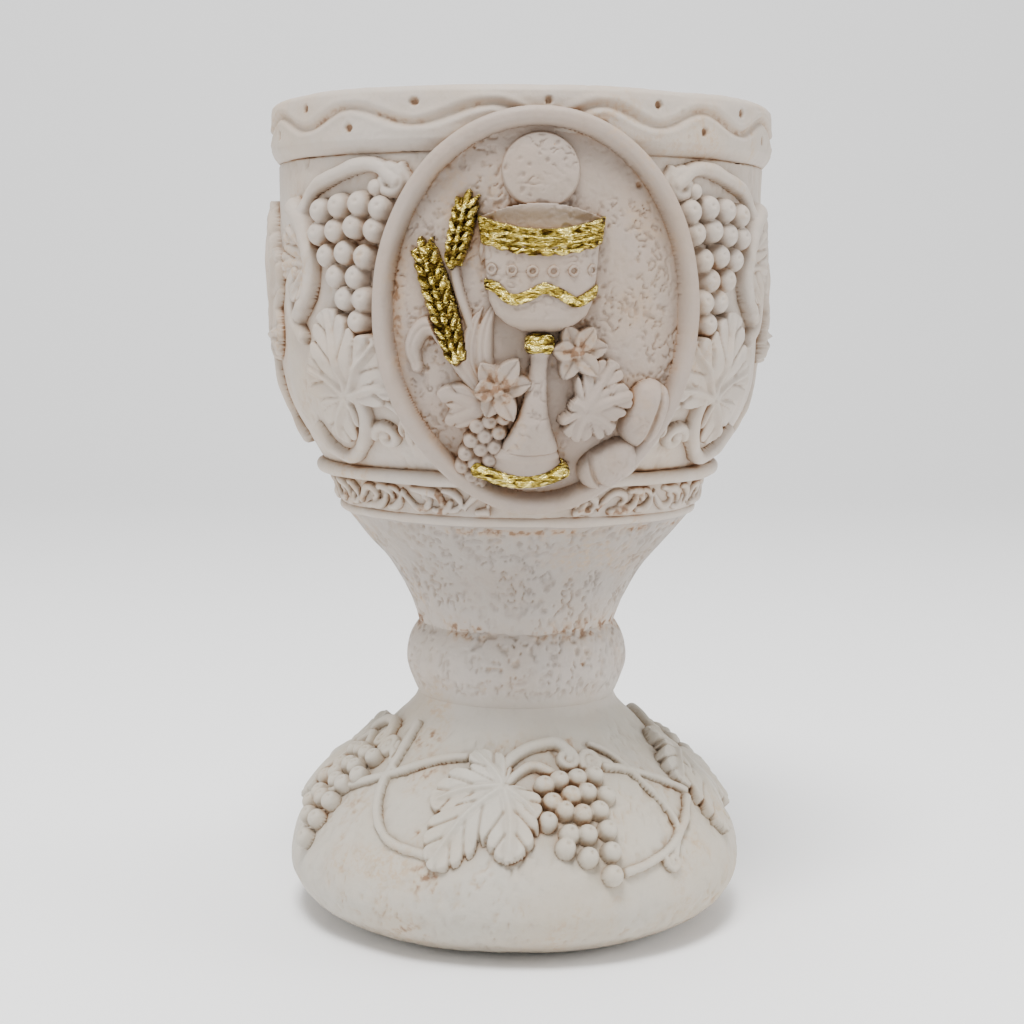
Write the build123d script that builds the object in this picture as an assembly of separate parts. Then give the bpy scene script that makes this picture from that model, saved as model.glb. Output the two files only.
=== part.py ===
from build123d import *
from math import atan2, cos, degrees, hypot, radians, sin, sqrt
import os

# Communion chalice: a cast ornament made of separate pieces, in millimetres.
# It stands on z = 0 with the turning axis on Z. The medallion faces -Y.
# Azimuth is measured from the front (-Y) towards +X, in degrees.

# ---- driving dimensions ----
HEIGHT = 150.0
RIM_R = 45.9
RIM_BOTTOM_Z = 139.2
CUP_BORE_R = 40.6
CUP_FLOOR_Z = 90.0
REST_R = 30.0
NECK_BOTTOM_Z = 55.5
NECK_TOP_Z = 76.3
KNOP_BOTTOM_Z = 40.7
KNOP_R = 20.75
LOWER_CORD_TOP_Z = 78.3
FRIEZE_TOP_Z = 83.4
BOWL_BOTTOM_Z = 86.0
SOCKET_BOTTOM_Z = 30.0
LOWER_SPIGOT_R = 11.0
UPPER_SPIGOT_R = 14.0
UPPER_SPIGOT_BOTTOM_Z = 64.0
BOWL_BOSS_R = 27.0

# Half profiles, as (radius, height)
FOOT = [(REST_R, 0), (35.2, 1.6), (38.8, 3.5), (41.3, 6.3), (42.7, 10.2), (41.5, 16), (38.2, 21.3),
        (33.6, 26.4), (28.2, 31.2), (22.6, 36.3), (18.6, KNOP_BOTTOM_Z)]
NECK = [(18.45, NECK_BOTTOM_Z), (20.4, 60.5), (23.9, 66.5), (29, 72.5), (32.2, NECK_TOP_Z)]
BOWL_CURVE = [(36.3, BOWL_BOTTOM_Z), (39, 90.5), (42.1, 96.5), (43.8, 103), (44.2, 110)]
BOWL_R = 44.2
FIELD = [(36.6, 77), (40, 84), (43.2, 91), (45.2, 98), (46.2, 106), (46.6, 118), (46.4, 132), (45.8, 147)]

# Medallion
MEDAL_Z = 113.2
MEDAL_HALF_W = 26.5
MEDAL_HALF_H = 33.3
FRAME_W = 3.6
FRAME_LIFT = 2.0
CUP_CUSHION_R = 17.0
CUP_CUSHION_Y = -33.1

# Relief heights and rods
LEAF_LIFT = 1.1
VEIN_LIFT = 1.7
BOWL_BERRY_R = 1.95
FOOT_BERRY_R = 1.9
BOWL_VINE_R = 1.05
FOOT_VINE_R = 0.95
WAVES = 13
PRISM = 30.0


# ---- shared tools ----
def turned(*edges):
    """Solid of revolution about Z from a closed half profile."""
    half = edges[0]
    for edge in edges[1:]:
        half = half + edge
    return revolve(make_face(Plane.XZ * half), Axis.Z)


def lifted(profile, lift):
    """The profile's points moved out along its own normal."""
    moved = []
    for i, (r, z) in enumerate(profile):
        r0, z0 = profile[max(i - 1, 0)]
        r1, z1 = profile[min(i + 1, len(profile) - 1)]
        run = hypot(r1 - r0, z1 - z0)
        moved.append((r + lift * (z1 - z0) / run, z - lift * (r1 - r0) / run))
    return moved


def core(profile, lift=0.0):
    """Everything inside a turned surface, out to the given lift above it."""
    points = lifted(profile, lift)
    (r0, z0), (r1, z1) = points[0], points[-1]
    return turned(Spline(*points), Polyline((r1, z1), (0, z1), (0, z0), (r0, z0)))


def radius_at(profile, z):
    """Radius of a profile at a height."""
    for (r0, z0), (r1, z1) in zip(profile, profile[1:]):
        if z <= z1:
            return r0 + (r1 - r0) * (z - z0) / (z1 - z0)
    return profile[-1][0]


def on(profile, az, z, lift=0.0):
    """Point on a turned surface at an azimuth and a height."""
    r = radius_at(profile, z) + lift
    return (r * sin(radians(az)), -r * cos(radians(az)), z)


def facing(profile, az, z, tilt=0.0):
    """Plane that touches the surface there: x runs round, y runs up, z points out."""
    a, t = radians(az), radians(tilt)
    out = (sin(a) * cos(t), -cos(a) * cos(t), sin(t))
    return Plane(origin=on(profile, az, z), x_dir=(cos(a), sin(a), 0), z_dir=out)


def laid(plane, profile, points):
    """Surface points as flat coordinates on a touching plane."""
    flat = [plane.to_local_coords(Vector(*on(profile, az, z))) for az, z in points]
    return [(p.X, p.Y) for p in flat]


def raised(plane, outline, shell, base):
    """A flat outline raised off the surface, between the base and the shell above it."""
    return (extrude(plane * outline, PRISM / 2, both=True) & shell) - base


def rod(profile, points, radius, base, lift=0.2):
    """Round rod that follows the surface, cut to its proud part."""
    path = Spline(*[on(profile, az, z, lift) for az, z in points])
    return sweep((path ^ 0) * Circle(radius), path) - base


def bunch(profile, points, radius, base, lift=0.3):
    """Berries set into the surface and fused where they touch."""
    balls = [Pos(*on(profile, az, z, lift)) * Sphere(radius) for az, z in points]
    return balls[0].fuse(*balls[1:]) - base


def spindle(length, width):
    """Grain-shaped solid, long along Y."""
    half = EllipticalCenterArc((0, 0), width / 2, length / 2, start_angle=-90, arc_size=180)
    return revolve(make_face(half + Line((0, length / 2), (0, -length / 2))), Axis.Y)


def bowed_outline(points, bow=0.12):
    """Face whose edge bows out between the given corners, listed clockwise."""
    edges = []
    for a, b in zip(points, points[1:] + points[:1]):
        edges.append(SagittaArc(a, b, bow * hypot(b[0] - a[0], b[1] - a[1])))
    return make_face(edges)


def solids_over(shape, least=0.05):
    """The shape without crumbs left by cutting."""
    kept = [s for s in shape.solids() if s.volume > least]
    return Compound(children=kept) if len(kept) > 1 else kept[0]


def touches(a, b):
    """Whether two bounding boxes meet."""
    p, q = a.bounding_box(), b.bounding_box()
    return all(getattr(p.min, k) < getattr(q.max, k) and getattr(q.min, k) < getattr(p.max, k) for k in "XYZ")


def without(shape, others):
    """The shape with every touching neighbour cut away."""
    for other in others:
        if touches(shape, other):
            shape = shape - other
    return shape


pieces = {}


def keep(name, shape):
    """Store a named piece."""
    pieces[name] = solids_over(shape)
    return pieces[name]


# ---- turned cores, without bores: relief is cut to these ----
foot_core = core(FOOT)
neck_core = core(NECK)
knop_core = turned(
    ThreePointArc((FOOT[-1][0], KNOP_BOTTOM_Z), (KNOP_R, 48.2), (NECK[0][0], NECK_BOTTOM_Z)),
    Polyline(NECK[0], (0, NECK_BOTTOM_Z), (0, KNOP_BOTTOM_Z), FOOT[-1]),
)
bowl_core = turned(
    Spline(*BOWL_CURVE, tangents=[(1.2, 2), (0, 1)]),
    Polyline(BOWL_CURVE[-1], (BOWL_R, RIM_BOTTOM_Z), (0, RIM_BOTTOM_Z), (0, BOWL_BOTTOM_Z), BOWL_CURVE[0]),
)
BOWL = BOWL_CURVE + [(BOWL_R, RIM_BOTTOM_Z)]


def bead(r, z0, z1):
    """Disc with a round edge."""
    edge = ThreePointArc((r, z0), (r + (z1 - z0) / 2, (z0 + z1) / 2), (r, z1))
    return turned(edge, Polyline((r, z1), (0, z1), (0, z0), (r, z0)))


lower_cord_core = bead(32.4, NECK_TOP_Z, LOWER_CORD_TOP_Z)
upper_cord_core = bead(36.3, FRIEZE_TOP_Z, BOWL_BOTTOM_Z)
FRIEZE = [(33.2, LOWER_CORD_TOP_Z), (33.7, 80.8), (34.5, FRIEZE_TOP_Z)]
frieze_core = core(FRIEZE)
rim_core = turned(
    Polyline((0, RIM_BOTTOM_Z), (BOWL_R, RIM_BOTTOM_Z), (RIM_R, 141.6), (RIM_R, HEIGHT - 1.5)),
    ThreePointArc((RIM_R, HEIGHT - 1.5), (RIM_R - 0.44, HEIGHT - 0.44), (RIM_R - 1.5, HEIGHT)),
    Polyline((RIM_R - 1.5, HEIGHT), (0, HEIGHT), (0, RIM_BOTTOM_Z)),
)
medal_backing = [neck_core, lower_cord_core, frieze_core, upper_cord_core, bowl_core, rim_core]


def bore(radius, z0, z1):
    """Upright cylinder between two heights."""
    return Pos(0, 0, (z0 + z1) / 2) * Cylinder(radius, z1 - z0)


# ---- turned pieces ----
def foot_and_stem():
    """Bell foot, ring knop and flaring stem, joined by a spigot that runs through the ring."""
    keep("foot_dome", foot_core - bore(LOWER_SPIGOT_R, SOCKET_BOTTOM_Z, KNOP_BOTTOM_Z))
    keep("knop_ring", knop_core - bore(LOWER_SPIGOT_R, KNOP_BOTTOM_Z, NECK_BOTTOM_Z))
    stem = neck_core + bore(LOWER_SPIGOT_R, SOCKET_BOTTOM_Z, NECK_BOTTOM_Z)
    keep("stem_neck", stem - bore(UPPER_SPIGOT_R, UPPER_SPIGOT_BOTTOM_Z, NECK_TOP_Z))


def bands():
    """Two beads and the frieze band between them, threaded on the bowl's boss."""
    keep("lower_cord", lower_cord_core - bore(BOWL_BOSS_R, NECK_TOP_Z, LOWER_CORD_TOP_Z))
    keep("frieze_band", frieze_core - bore(BOWL_BOSS_R, LOWER_CORD_TOP_Z, FRIEZE_TOP_Z))
    keep("upper_cord", upper_cord_core - bore(BOWL_BOSS_R, FRIEZE_TOP_Z, BOWL_BOTTOM_Z))


def bowl():
    """Hollow cup with a boss and a spigot below it."""
    wall = [(0, CUP_FLOOR_Z), (22, 92), (34, 98), (39.2, 107), (CUP_BORE_R, 118)]
    cavity = turned(
        Spline(*wall, tangents=[(1, 0), (0, 1)]),
        Polyline(wall[-1], (CUP_BORE_R, RIM_BOTTOM_Z), (0, RIM_BOTTOM_Z), (0, CUP_FLOOR_Z)),
    )
    shell = bowl_core - cavity + bore(BOWL_BOSS_R, NECK_TOP_Z, BOWL_BOTTOM_Z)
    keep("bowl_shell", shell + bore(UPPER_SPIGOT_R, UPPER_SPIGOT_BOTTOM_Z, NECK_TOP_Z))


def wave_z(az, middle, swing):
    """Height of the wavy line round the rim."""
    crest = -43
    return middle + swing * cos(radians(WAVES * (az - crest)))


def rim():
    """Rim ring with a wavy groove and a pit in each bend of the wave."""
    ring = rim_core - bore(CUP_BORE_R, RIM_BOTTOM_Z, HEIGHT)
    side = [(RIM_R, RIM_BOTTOM_Z), (RIM_R, HEIGHT)]
    half_wave = 180 / WAVES
    cuts = []
    for i in range(WAVES):
        start = 2 * i * half_wave
        stops = [start + k * half_wave / 3 for k in range(7)]
        path = Spline(*[on(side, az, wave_z(az, 145.6, 1.6), 0.1) for az in stops])
        cuts.append(sweep((path ^ 0) * Circle(0.55), path))
        for az in (start - 43, start - 43 + half_wave):
            cuts.append(Pos(*on(side, az, wave_z(az, 145.6, -2.0))) * Sphere(0.7))
    keep("rim_band", ring - cuts)


# ---- medallion ----
FRONT = Plane(origin=(0, -50, 0), x_dir=(1, 0, 0), z_dir=(0, -1, 0))
field_core = core(FIELD)


def oval(half_w, half_h):
    """Upright ellipse on the medallion's centre."""
    return Pos(0, MEDAL_Z) * Ellipse(half_w, half_h)


def spot(az, z):
    """Front view position of a point on the medallion's field."""
    x, _, z = on(FIELD, az, z)
    return (x, z)


def front_prism(outline):
    """An outline on the medallion, run back into the bowl."""
    return extrude(FRONT * outline, PRISM / 2, both=True)


def medallion_base():
    """Oval ground that wraps the cup, and the raised frame round it."""
    ground = front_prism(oval(MEDAL_HALF_W - 0.6, MEDAL_HALF_H - 0.6)) & field_core
    ground = keep("medallion_ground", without(ground, medal_backing))
    ring = oval(MEDAL_HALF_W, MEDAL_HALF_H) - oval(MEDAL_HALF_W - FRAME_W, MEDAL_HALF_H - FRAME_W)
    frame = front_prism(ring) & core(FIELD, FRAME_LIFT)
    keep("medallion_frame", without(frame, medal_backing + [ground]))
    return front_prism(oval(MEDAL_HALF_W + 0.1, MEDAL_HALF_H + 0.1))


def cushion(extra=0.0, depth=60.0):
    """Upright cylinder that rounds the front of the little cup."""
    return Pos(0, CUP_CUSHION_Y, MEDAL_Z) * Cylinder(CUP_CUSHION_R + extra, depth)


def field_relief(outline, lift):
    """Outline raised off the medallion's field."""
    return (front_prism(outline) & core(FIELD, lift)) - field_core


def little_cup():
    """The chalice in relief: bowl with an open mouth, stem, foot, and its gilded areas."""
    body = Polyline((9.9, 128.4), (8.6, 116), (7.4, 113.2))
    body += Spline((7.4, 113.2), (4.6, 111), (0.2, 110), (-4.2, 111), (-7.2, 113.2))
    body += Polyline((-7.2, 113.2), (-8.4, 116), (-9.5, 128.6))
    body += ThreePointArc((-9.5, 128.6), (0.2, 130.7), (9.9, 128.4))
    mouth = make_face(
        ThreePointArc((-8.4, 128.4), (0.2, 129.9), (8.8, 128.2))
        + ThreePointArc((8.8, 128.2), (0.2, 126.8), (-8.4, 128.4))
    )
    bowl_solid = (front_prism(make_face(body)) & cushion()) - field_core
    inner = (front_prism(mouth) & cushion()) - core(FIELD, 0.8)
    cup = keep("relief_cup_bowl", bowl_solid - inner)

    band = make_face(
        ThreePointArc((-9.5, 128), (0.2, 126), (9.9, 128))
        + Line((9.9, 128), (9.5, 124.4))
        + ThreePointArc((9.5, 124.4), (0.2, 122.2), (-9.1, 124.4))
        + Line((-9.1, 124.4), (-9.5, 128))
    )
    keep("gilt_rim_band", (front_prism(band) & cushion(0.5)) - cushion() - field_core)
    wave = trace(Spline((-7.8, 117.6), (-4.7, 115.2), (0.3, 117), (5, 115.2), (8.2, 116.6)), 1.7)
    keep("gilt_wave_band", (front_prism(wave) & cushion(0.5)) - cushion() - field_core)
    studs = []
    for i in range(6):
        x = 3.1 * (i - 2.5) + 0.2
        y = CUP_CUSHION_Y - sqrt(CUP_CUSHION_R**2 - x**2)
        studs.append(Pos(x, y, 119.9) * Sphere(0.9) - cushion())
    keep("cup_studs", Compound(children=studs))

    knop = Pos(0, -46.9, 108.5) * Rot(90, 0, 90) * spindle(5.4, 3.6)
    keep("gilt_knop", without(knop, [field_core, pieces["relief_cup_bowl"]]))
    shaft = Pos(0.4, -46.2, 0) * turned(
        Spline((2.4, 108), (1.9, 103), (2.3, 97.5), (4.6, 92.2)),
        Polyline((4.6, 92.2), (0, 92.2), (0, 108), (2.4, 108)),
    )
    keep("relief_cup_stem", without(shaft, [field_core, pieces["gilt_knop"], pieces["relief_cup_bowl"]]))
    foot = make_face(
        Line((-5.8, 92.2), (5.2, 92.2))
        + Spline((5.2, 92.2), (5.8, 90), (7.6, 87.6))
        + Line((7.6, 87.6), (7.4, 86))
        + ThreePointArc((7.4, 86), (-0.4, 84.6), (-8.8, 85.6))
        + Line((-8.8, 85.6), (-9, 87.2))
        + Spline((-9, 87.2), (-6.4, 90), (-5.8, 92.2))
    )
    neighbours = [pieces["relief_cup_stem"], pieces["medallion_frame"]]
    keep("relief_cup_foot", without(field_relief(foot, 2.4), neighbours))
    hem = trace(ThreePointArc((-8.6, 87), (-0.4, 86), (7.2, 87)), 1.7)
    hem = (front_prism(hem) & core(FIELD, 2.9)) - core(FIELD, 2.4)
    keep("gilt_foot_band", hem)


def wheat_ear(base, tip, width, rows):
    """Ear of grain: paired grains down both sides and one at the tip."""
    (x0, z0), (x1, z1) = base, tip
    lean = degrees(atan2(x0 - x1, z1 - z0))
    step = hypot(x1 - x0, z1 - z0) / (rows + 0.6)
    axis_az = degrees(atan2(x0 + x1, 2 * 46.5))
    plane = facing(FIELD, axis_az, (z0 + z1) / 2)
    grains = []
    for i in range(rows):
        for side in (-1, 1):
            at = Pos(side * width * 0.25, (i - rows / 2 + 0.2) * step, 0.2)
            grains.append(Rot(0, 0, lean) * at * Rot(0, 0, -side * 24) * spindle(1.75 * step, width * 0.46))
    grains.append(Rot(0, 0, lean) * Pos(0, rows / 2 * step, 0.2) * spindle(1.9 * step, width * 0.4))
    placed = [plane * g for g in grains]
    return placed[0].fuse(*placed[1:]) - field_core


def wheat():
    """Two ears of wheat with stalks, a curled reed and blades beside the little cup."""
    cup = [pieces["relief_cup_bowl"], pieces["gilt_rim_band"], pieces["gilt_wave_band"]]
    ear = keep("wheat_ear_upper", without(wheat_ear((-13.6, 121.6), (-11.4, 132.8), 5.6, 5), cup))
    low = keep("wheat_ear_lower", without(wheat_ear((-13.9, 110.4), (-18.6, 125.6), 5.2, 7), [ear] + cup))
    front = [ear, low, pieces["relief_cup_stem"], pieces["medallion_frame"]] + cup
    upper_stalk = rod(FIELD, [(-17, 121.8), (-15.5, 117), (-12.5, 111)], 0.6, field_core)
    lower_stalk = rod(FIELD, [(-17, 110.8), (-16, 106), (-12, 102)], 0.6, field_core)
    stalks = without(upper_stalk, front) + without(lower_stalk, front)
    keep("wheat_stalks", stalks)
    front.append(pieces["wheat_stalks"])
    over = [spot(*p) for p in ((-26.5, 105.5), (-24, 112), (-13, 102.8))]
    under = [spot(*p) for p in ((-13, 102.8), (-22, 108), (-26.5, 105.5))]
    reed = make_face(Spline(*over) + Spline(*under))
    keep("curled_reed", without(field_relief(reed, 1.2), front))
    front.append(pieces["curled_reed"])
    blades = []
    for top, foot, bend in (((-10.7, 115.5), (-10.3, 104.2), -13), ((-12.5, 111), (-13.6, 101.6), -15.5)):
        left = ThreePointArc(spot(*foot), spot(bend, (top[1] + foot[1]) / 2), spot(*top))
        right = ThreePointArc(spot(*top), spot(bend + 3.2, (top[1] + foot[1]) / 2), spot(*foot))
        blades.append(without(field_relief(make_face(left + right), 1.1), front))
    keep("blade_leaves", blades[0] + (blades[1] - blades[0]))


def petal(centre, tip, width):
    """Pointed petal between two arcs."""
    (x0, y0), (x1, y1) = centre, tip
    mx, my = (x0 + x1) / 2, (y0 + y1) / 2
    run = hypot(x1 - x0, y1 - y0)
    nx, ny = -(y1 - y0) / run * width / 2, (x1 - x0) / run * width / 2
    return make_face(
        ThreePointArc((x0, y0), (mx + nx, my + ny), (x1, y1))
        + ThreePointArc((x1, y1), (mx - nx, my - ny), (x0, y0))
    )


def lily(centre, tips, width=2.6):
    """Open flower with pointed petals round a button."""
    c = spot(*centre)
    outline = petal(c, spot(*tips[0]), width)
    for tip in tips[1:]:
        outline = outline + petal(c, spot(*tip), width)
    button = Pos(*on(FIELD, *centre, 0.9)) * Sphere(1.2)
    return field_relief(outline, 1.5) + (button - field_core)


def flowers_and_fruit():
    """Lilies, leaves, small grapes and two loaves at the foot of the medallion."""
    names = ["relief_cup_bowl", "relief_cup_stem", "relief_cup_foot", "gilt_knop", "gilt_foot_band"]
    names += ["wheat_stalks", "blade_leaves", "curled_reed", "medallion_frame"]
    front = [pieces[n] for n in names]
    tips = [(-1.5, 102), (-4, 105.6), (-11.6, 105), (-12.5, 99.5), (-10.4, 97), (-4.6, 96.6)]
    left = lily((-8.3, 101), tips)
    front.append(keep("lily_left", without(left, front[:1] + front[3:])))
    pieces["relief_cup_stem"] = solids_over(without(pieces["relief_cup_stem"], [front[-1]]))
    front[1] = pieces["relief_cup_stem"]
    tips = [(5.4, 110.8), (10.6, 111), (13.4, 108.2), (11.4, 103.6), (4.4, 102.6), (2.6, 107.2)]
    right = lily((7.4, 107), tips)
    front.append(keep("lily_right", without(right, front)))
    fronds = petal(spot(-12.5, 97.5), spot(-20.5, 98.3), 3) + petal(spot(-12, 97), spot(-17, 94), 2.6)
    front.append(keep("lily_leaves", without(field_relief(fronds, 1.1), front)))
    berries = [(-7.6, 95.6), (-10.6, 95), (-9, 93.2), (-12.2, 93), (-10.6, 91.2)]
    berries += [(-13.6, 91.4), (-12.4, 89.2), (-15, 89.2), (-14, 87.2)]
    front.append(keep("relief_grapes", without(bunch(FIELD, berries, 1.15, field_core, 0.4), front)))
    edge = [(7.5, 95), (8.4, 99.4), (11.4, 101), (13.4, 104), (16.8, 104.6)]
    edge += [(18.8, 101.4), (16.4, 99.4), (16, 96.4), (12, 94.6)]
    ruffled = bowed_outline([spot(*p) for p in edge])
    loaves = []
    for az, z, length, width, lean in ((23, 96.3, 12, 7.8, -17), (16.3, 88.7, 10, 6.6, -58)):
        loaves.append(facing(FIELD, az, z, -12) * Pos(0, 0, -0.4) * Rot(0, 0, lean) * spindle(length, width))
    front.append(keep("loaf_upper", without(loaves[0] - field_core, front + [pieces["medallion_frame"]])))
    front.append(keep("loaf_lower", without(loaves[1] - field_core, front + [pieces["medallion_frame"]])))
    keep("relief_vine_leaf", without(field_relief(ruffled, 1.3), front))
    host = field_relief(Pos(0, 136.1) * Circle(6.4), 0.9)
    neighbours = [pieces[n] for n in ("relief_cup_bowl", "gilt_rim_band", "medallion_frame")]
    keep("host_disc", without(host, neighbours))


# ---- vine relief, drawn once about azimuth 0 and set round the cup and the foot ----
def veined_leaf(plane, profile, edge, veins, base, edge_lift=LEAF_LIFT):
    """Lobed leaf with raised ribs."""
    shell = core(profile, edge_lift)
    blade = raised(plane, bowed_outline(laid(plane, profile, edge)), shell, base)
    for vein in veins:
        rib = trace(Spline(*laid(plane, profile, vein)), 0.8)
        blade = blade + raised(plane, rib, core(profile, VEIN_LIFT), base)
    return blade


def bowl_motif():
    """A bunch of grapes hanging from an arched vine, with a trunk beside it and a leaf below."""
    berries = [(-8, 130), (-2, 130.5), (4, 130.5), (9.5, 130), (-8.5, 126), (-3, 126.2), (2, 127)]
    berries += [(8, 126.5)]
    berries += [(-5, 122.2), (0, 122.6), (5.2, 122), (-2.5, 118.8), (3, 118.6), (0.5, 115.2), (5.2, 115)]
    berries += [(4.5, 111.8)]
    grapes = bunch(BOWL, berries, BOWL_BERRY_R, bowl_core)
    over = [(-16, 128.4), (-12, 133), (-4, 135.6), (3, 137.2), (9, 136.8), (13, 134)]
    arch = rod(BOWL, over, BOWL_VINE_R, bowl_core)
    trunk = rod(BOWL, [(-18, 131), (-13.5, 124), (-13, 118), (-17, 113.6)], BOWL_VINE_R + 0.4, bowl_core)
    curl = rod(BOWL, [(2.5, 98.5), (1.5, 93.4), (-4.5, 88.6), (-12, 88), (-18, 90)], BOWL_VINE_R, bowl_core)
    branch = rod(BOWL, [(1, 97), (6, 98.4), (11, 97.6)], BOWL_VINE_R - 0.2, bowl_core)
    vine = without(arch + trunk + curl + branch, [grapes])
    edge = [(-1, 98), (-7.4, 92.6), (-7.8, 98.2), (-11, 103), (-8.6, 105.6), (-7, 112), (-2.6, 108.6)]
    edge += [(9, 107.4), (7.4, 103.8), (9.4, 101)]
    veins = [
        [(-1, 98.4), (-3, 104), (-6.6, 110)],
        [(-1.4, 99.6), (4, 103), (8, 106)],
        [(-1.6, 99), (-6, 99), (-9.6, 102)],
    ]
    plane = facing(BOWL, 0, 103)
    leaf = without(veined_leaf(plane, BOWL, edge, veins, bowl_core), [grapes, vine])
    return vine, grapes, leaf


def side_leaf():
    """Broad leaf that fills the wall between two bunches."""
    edge = [(0, 107), (-7, 109), (-10, 116), (-6.6, 119), (-9, 126), (-3.6, 126), (0, 132), (3.6, 126)]
    edge += [(9, 126), (6.6, 119), (10, 116), (7, 109)]
    veins = [
        [(0, 108), (0.4, 119), (0, 130)],
        [(0, 110), (4, 118), (8, 124)],
        [(0, 110), (-4, 118), (-8, 124)],
    ]
    return veined_leaf(facing(BOWL, 0, 118), BOWL, edge, veins, bowl_core)


def turn(shape, az):
    """Shape turned round the cup."""
    return Rot(0, 0, az) * shape


def bowl_relief(medal_prism):
    """Four mirrored vine panels, and the leaves between them."""
    vine, grapes, leaf = bowl_motif()
    for i, (az, flip) in enumerate(((-44, False), (44, True), (136, False), (-136, True))):
        for name, shape in (("bowl_vine", vine), ("bowl_grapes", grapes), ("bowl_leaf", leaf)):
            placed = turn(mirror(shape, Plane.YZ) if flip else shape, az)
            if abs(az) < 90:
                placed = placed - medal_prism
            keep(f"{name}_{i + 1}", placed)
    near = [pieces[n] for n in pieces if n.startswith(("bowl_vine", "bowl_leaf"))]
    for i, az in enumerate((-90, 90, 180)):
        keep(f"side_leaf_{i + 1}", without(turn(side_leaf(), az), near))


def foot_motif():
    """A leaf and a bunch under one arched vine, with the two kinds of stem that link the sets."""
    berries = [(6, 29.6), (11.2, 30.3), (17.5, 30.6), (24, 30.4), (7.6, 27.2), (14, 28), (20, 28.2)]
    berries += [(25.4, 27.6)]
    berries += [(5.4, 24.6), (10.6, 25.4), (16, 25.4), (21.4, 25.2), (10.6, 22.6), (16, 22.8), (21.4, 22.6)]
    berries += [(13.4, 20), (18.4, 20.2), (22.6, 19.8), (20, 17.2)]
    grapes = bunch(FOOT, berries, FOOT_BERRY_R, foot_core)
    arches = rod(FOOT, [(-9.5, 32), (-3, 34.2), (8, 35.8), (18, 35), (27, 32.2)], FOOT_VINE_R, foot_core)
    arches += rod(FOOT, [(-5.5, 30.4), (1, 31.8), (8, 32.6)], FOOT_VINE_R - 0.2, foot_core)
    arches = without(arches, [grapes])
    edge = [(-0.6, 25.6), (-1.5, 22), (-9, 23.4), (-15, 20.2), (-20, 21), (-24.6, 18.4), (-28.6, 22)]
    edge += [(-26.6, 24.6), (-31, 29.6), (-22.5, 29.6), (-19.5, 33.2), (-12, 30.6), (-7.5, 30)]
    veins = [
        [(-7.8, 29.2), (-15, 24.4), (-24, 19.8)],
        [(-8.4, 29), (-16, 29.8), (-27, 29)],
        [(-8, 29), (-6, 26.4), (-2, 23.4)],
        [(-12, 26.8), (-20, 26.2), (-28, 23.4)],
    ]
    plane = facing(FOOT, -15, 26, 42)
    leaf = without(veined_leaf(plane, FOOT, edge, veins, foot_core), [grapes, arches])
    return arches, grapes, leaf


def foot_stems():
    """The crossing stems, and the forked stems, that fill the gaps between the sets."""
    thin = FOOT_VINE_R - 0.25
    falling = rod(FOOT, [(-33, 32.8), (-48, 30.4), (-64, 27)], thin, foot_core)
    crossing = rod(FOOT, [(-55, 34), (-50, 29), (-46, 25), (-36, 21.6)], thin, foot_core)
    linking = rod(FOOT, [(30, 31.6), (42, 30.4), (52, 28), (58, 26.4)], thin, foot_core)
    dropping = rod(FOOT, [(55, 24), (43.5, 20), (31, 18), (26, 17)], thin, foot_core)
    return falling + crossing, linking + dropping


def foot_relief():
    """Four leaf and bunch sets round the foot."""
    arches, grapes, leaf = foot_motif()
    crossed, forked = foot_stems()
    links = (turn(forked, 0), turn(crossed, 180), turn(forked, 180), turn(crossed, 0))
    for i in range(4):
        keep(f"foot_grapes_{i + 1}", turn(grapes, 90 * i))
        keep(f"foot_leaf_{i + 1}", turn(leaf, 90 * i))
    near = [pieces[n] for n in pieces if n.startswith(("foot_grapes", "foot_leaf"))]
    for i in range(4):
        keep(f"foot_vine_{i + 1}", without(turn(arches, 90 * i) + links[i], near))


def frieze_relief(medal_prism):
    """S scrolls set end to end round the frieze band."""
    scrolls = []
    count = 26
    for i in range(count):
        az = i * 360 / count
        plane = facing(FRIEZE, az, 80.8, -15)
        curve = Spline((-2.9, -1.2), (-2.2, 0.9), (0, 0.1), (2.2, -0.9), (2.9, 1.2))
        scroll = raised(plane, trace(curve, 0.9), core(FRIEZE, 0.8), frieze_core)
        scrolls.append(without(scroll, [medal_prism, upper_cord_core, lower_cord_core]))
    keep("frieze_scrolls", Compound(children=[s for part in scrolls for s in part.solids()]))


foot_and_stem()
bands()
bowl()
rim()
medal_prism = medallion_base()
little_cup()
wheat()
flowers_and_fruit()
bowl_relief(medal_prism)
foot_relief()
frieze_relief(medal_prism)

os.makedirs("parts", exist_ok=True)
for name, shape in pieces.items():
    shape.label = name
    export_step(shape, f"parts/{name}.step")
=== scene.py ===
"""Communion chalice in ivory cast resin with gilding: the visual model, on the CAD frame.

Shapes are worked out in millimetres as heights above turned surfaces, then stored in metres.
Azimuth is measured from the front (-Y) towards +X, in degrees.
"""

from math import atan2, cos, degrees, pi, radians, sin

import bpy
import numpy as np
from mathutils import Matrix, Vector


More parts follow.
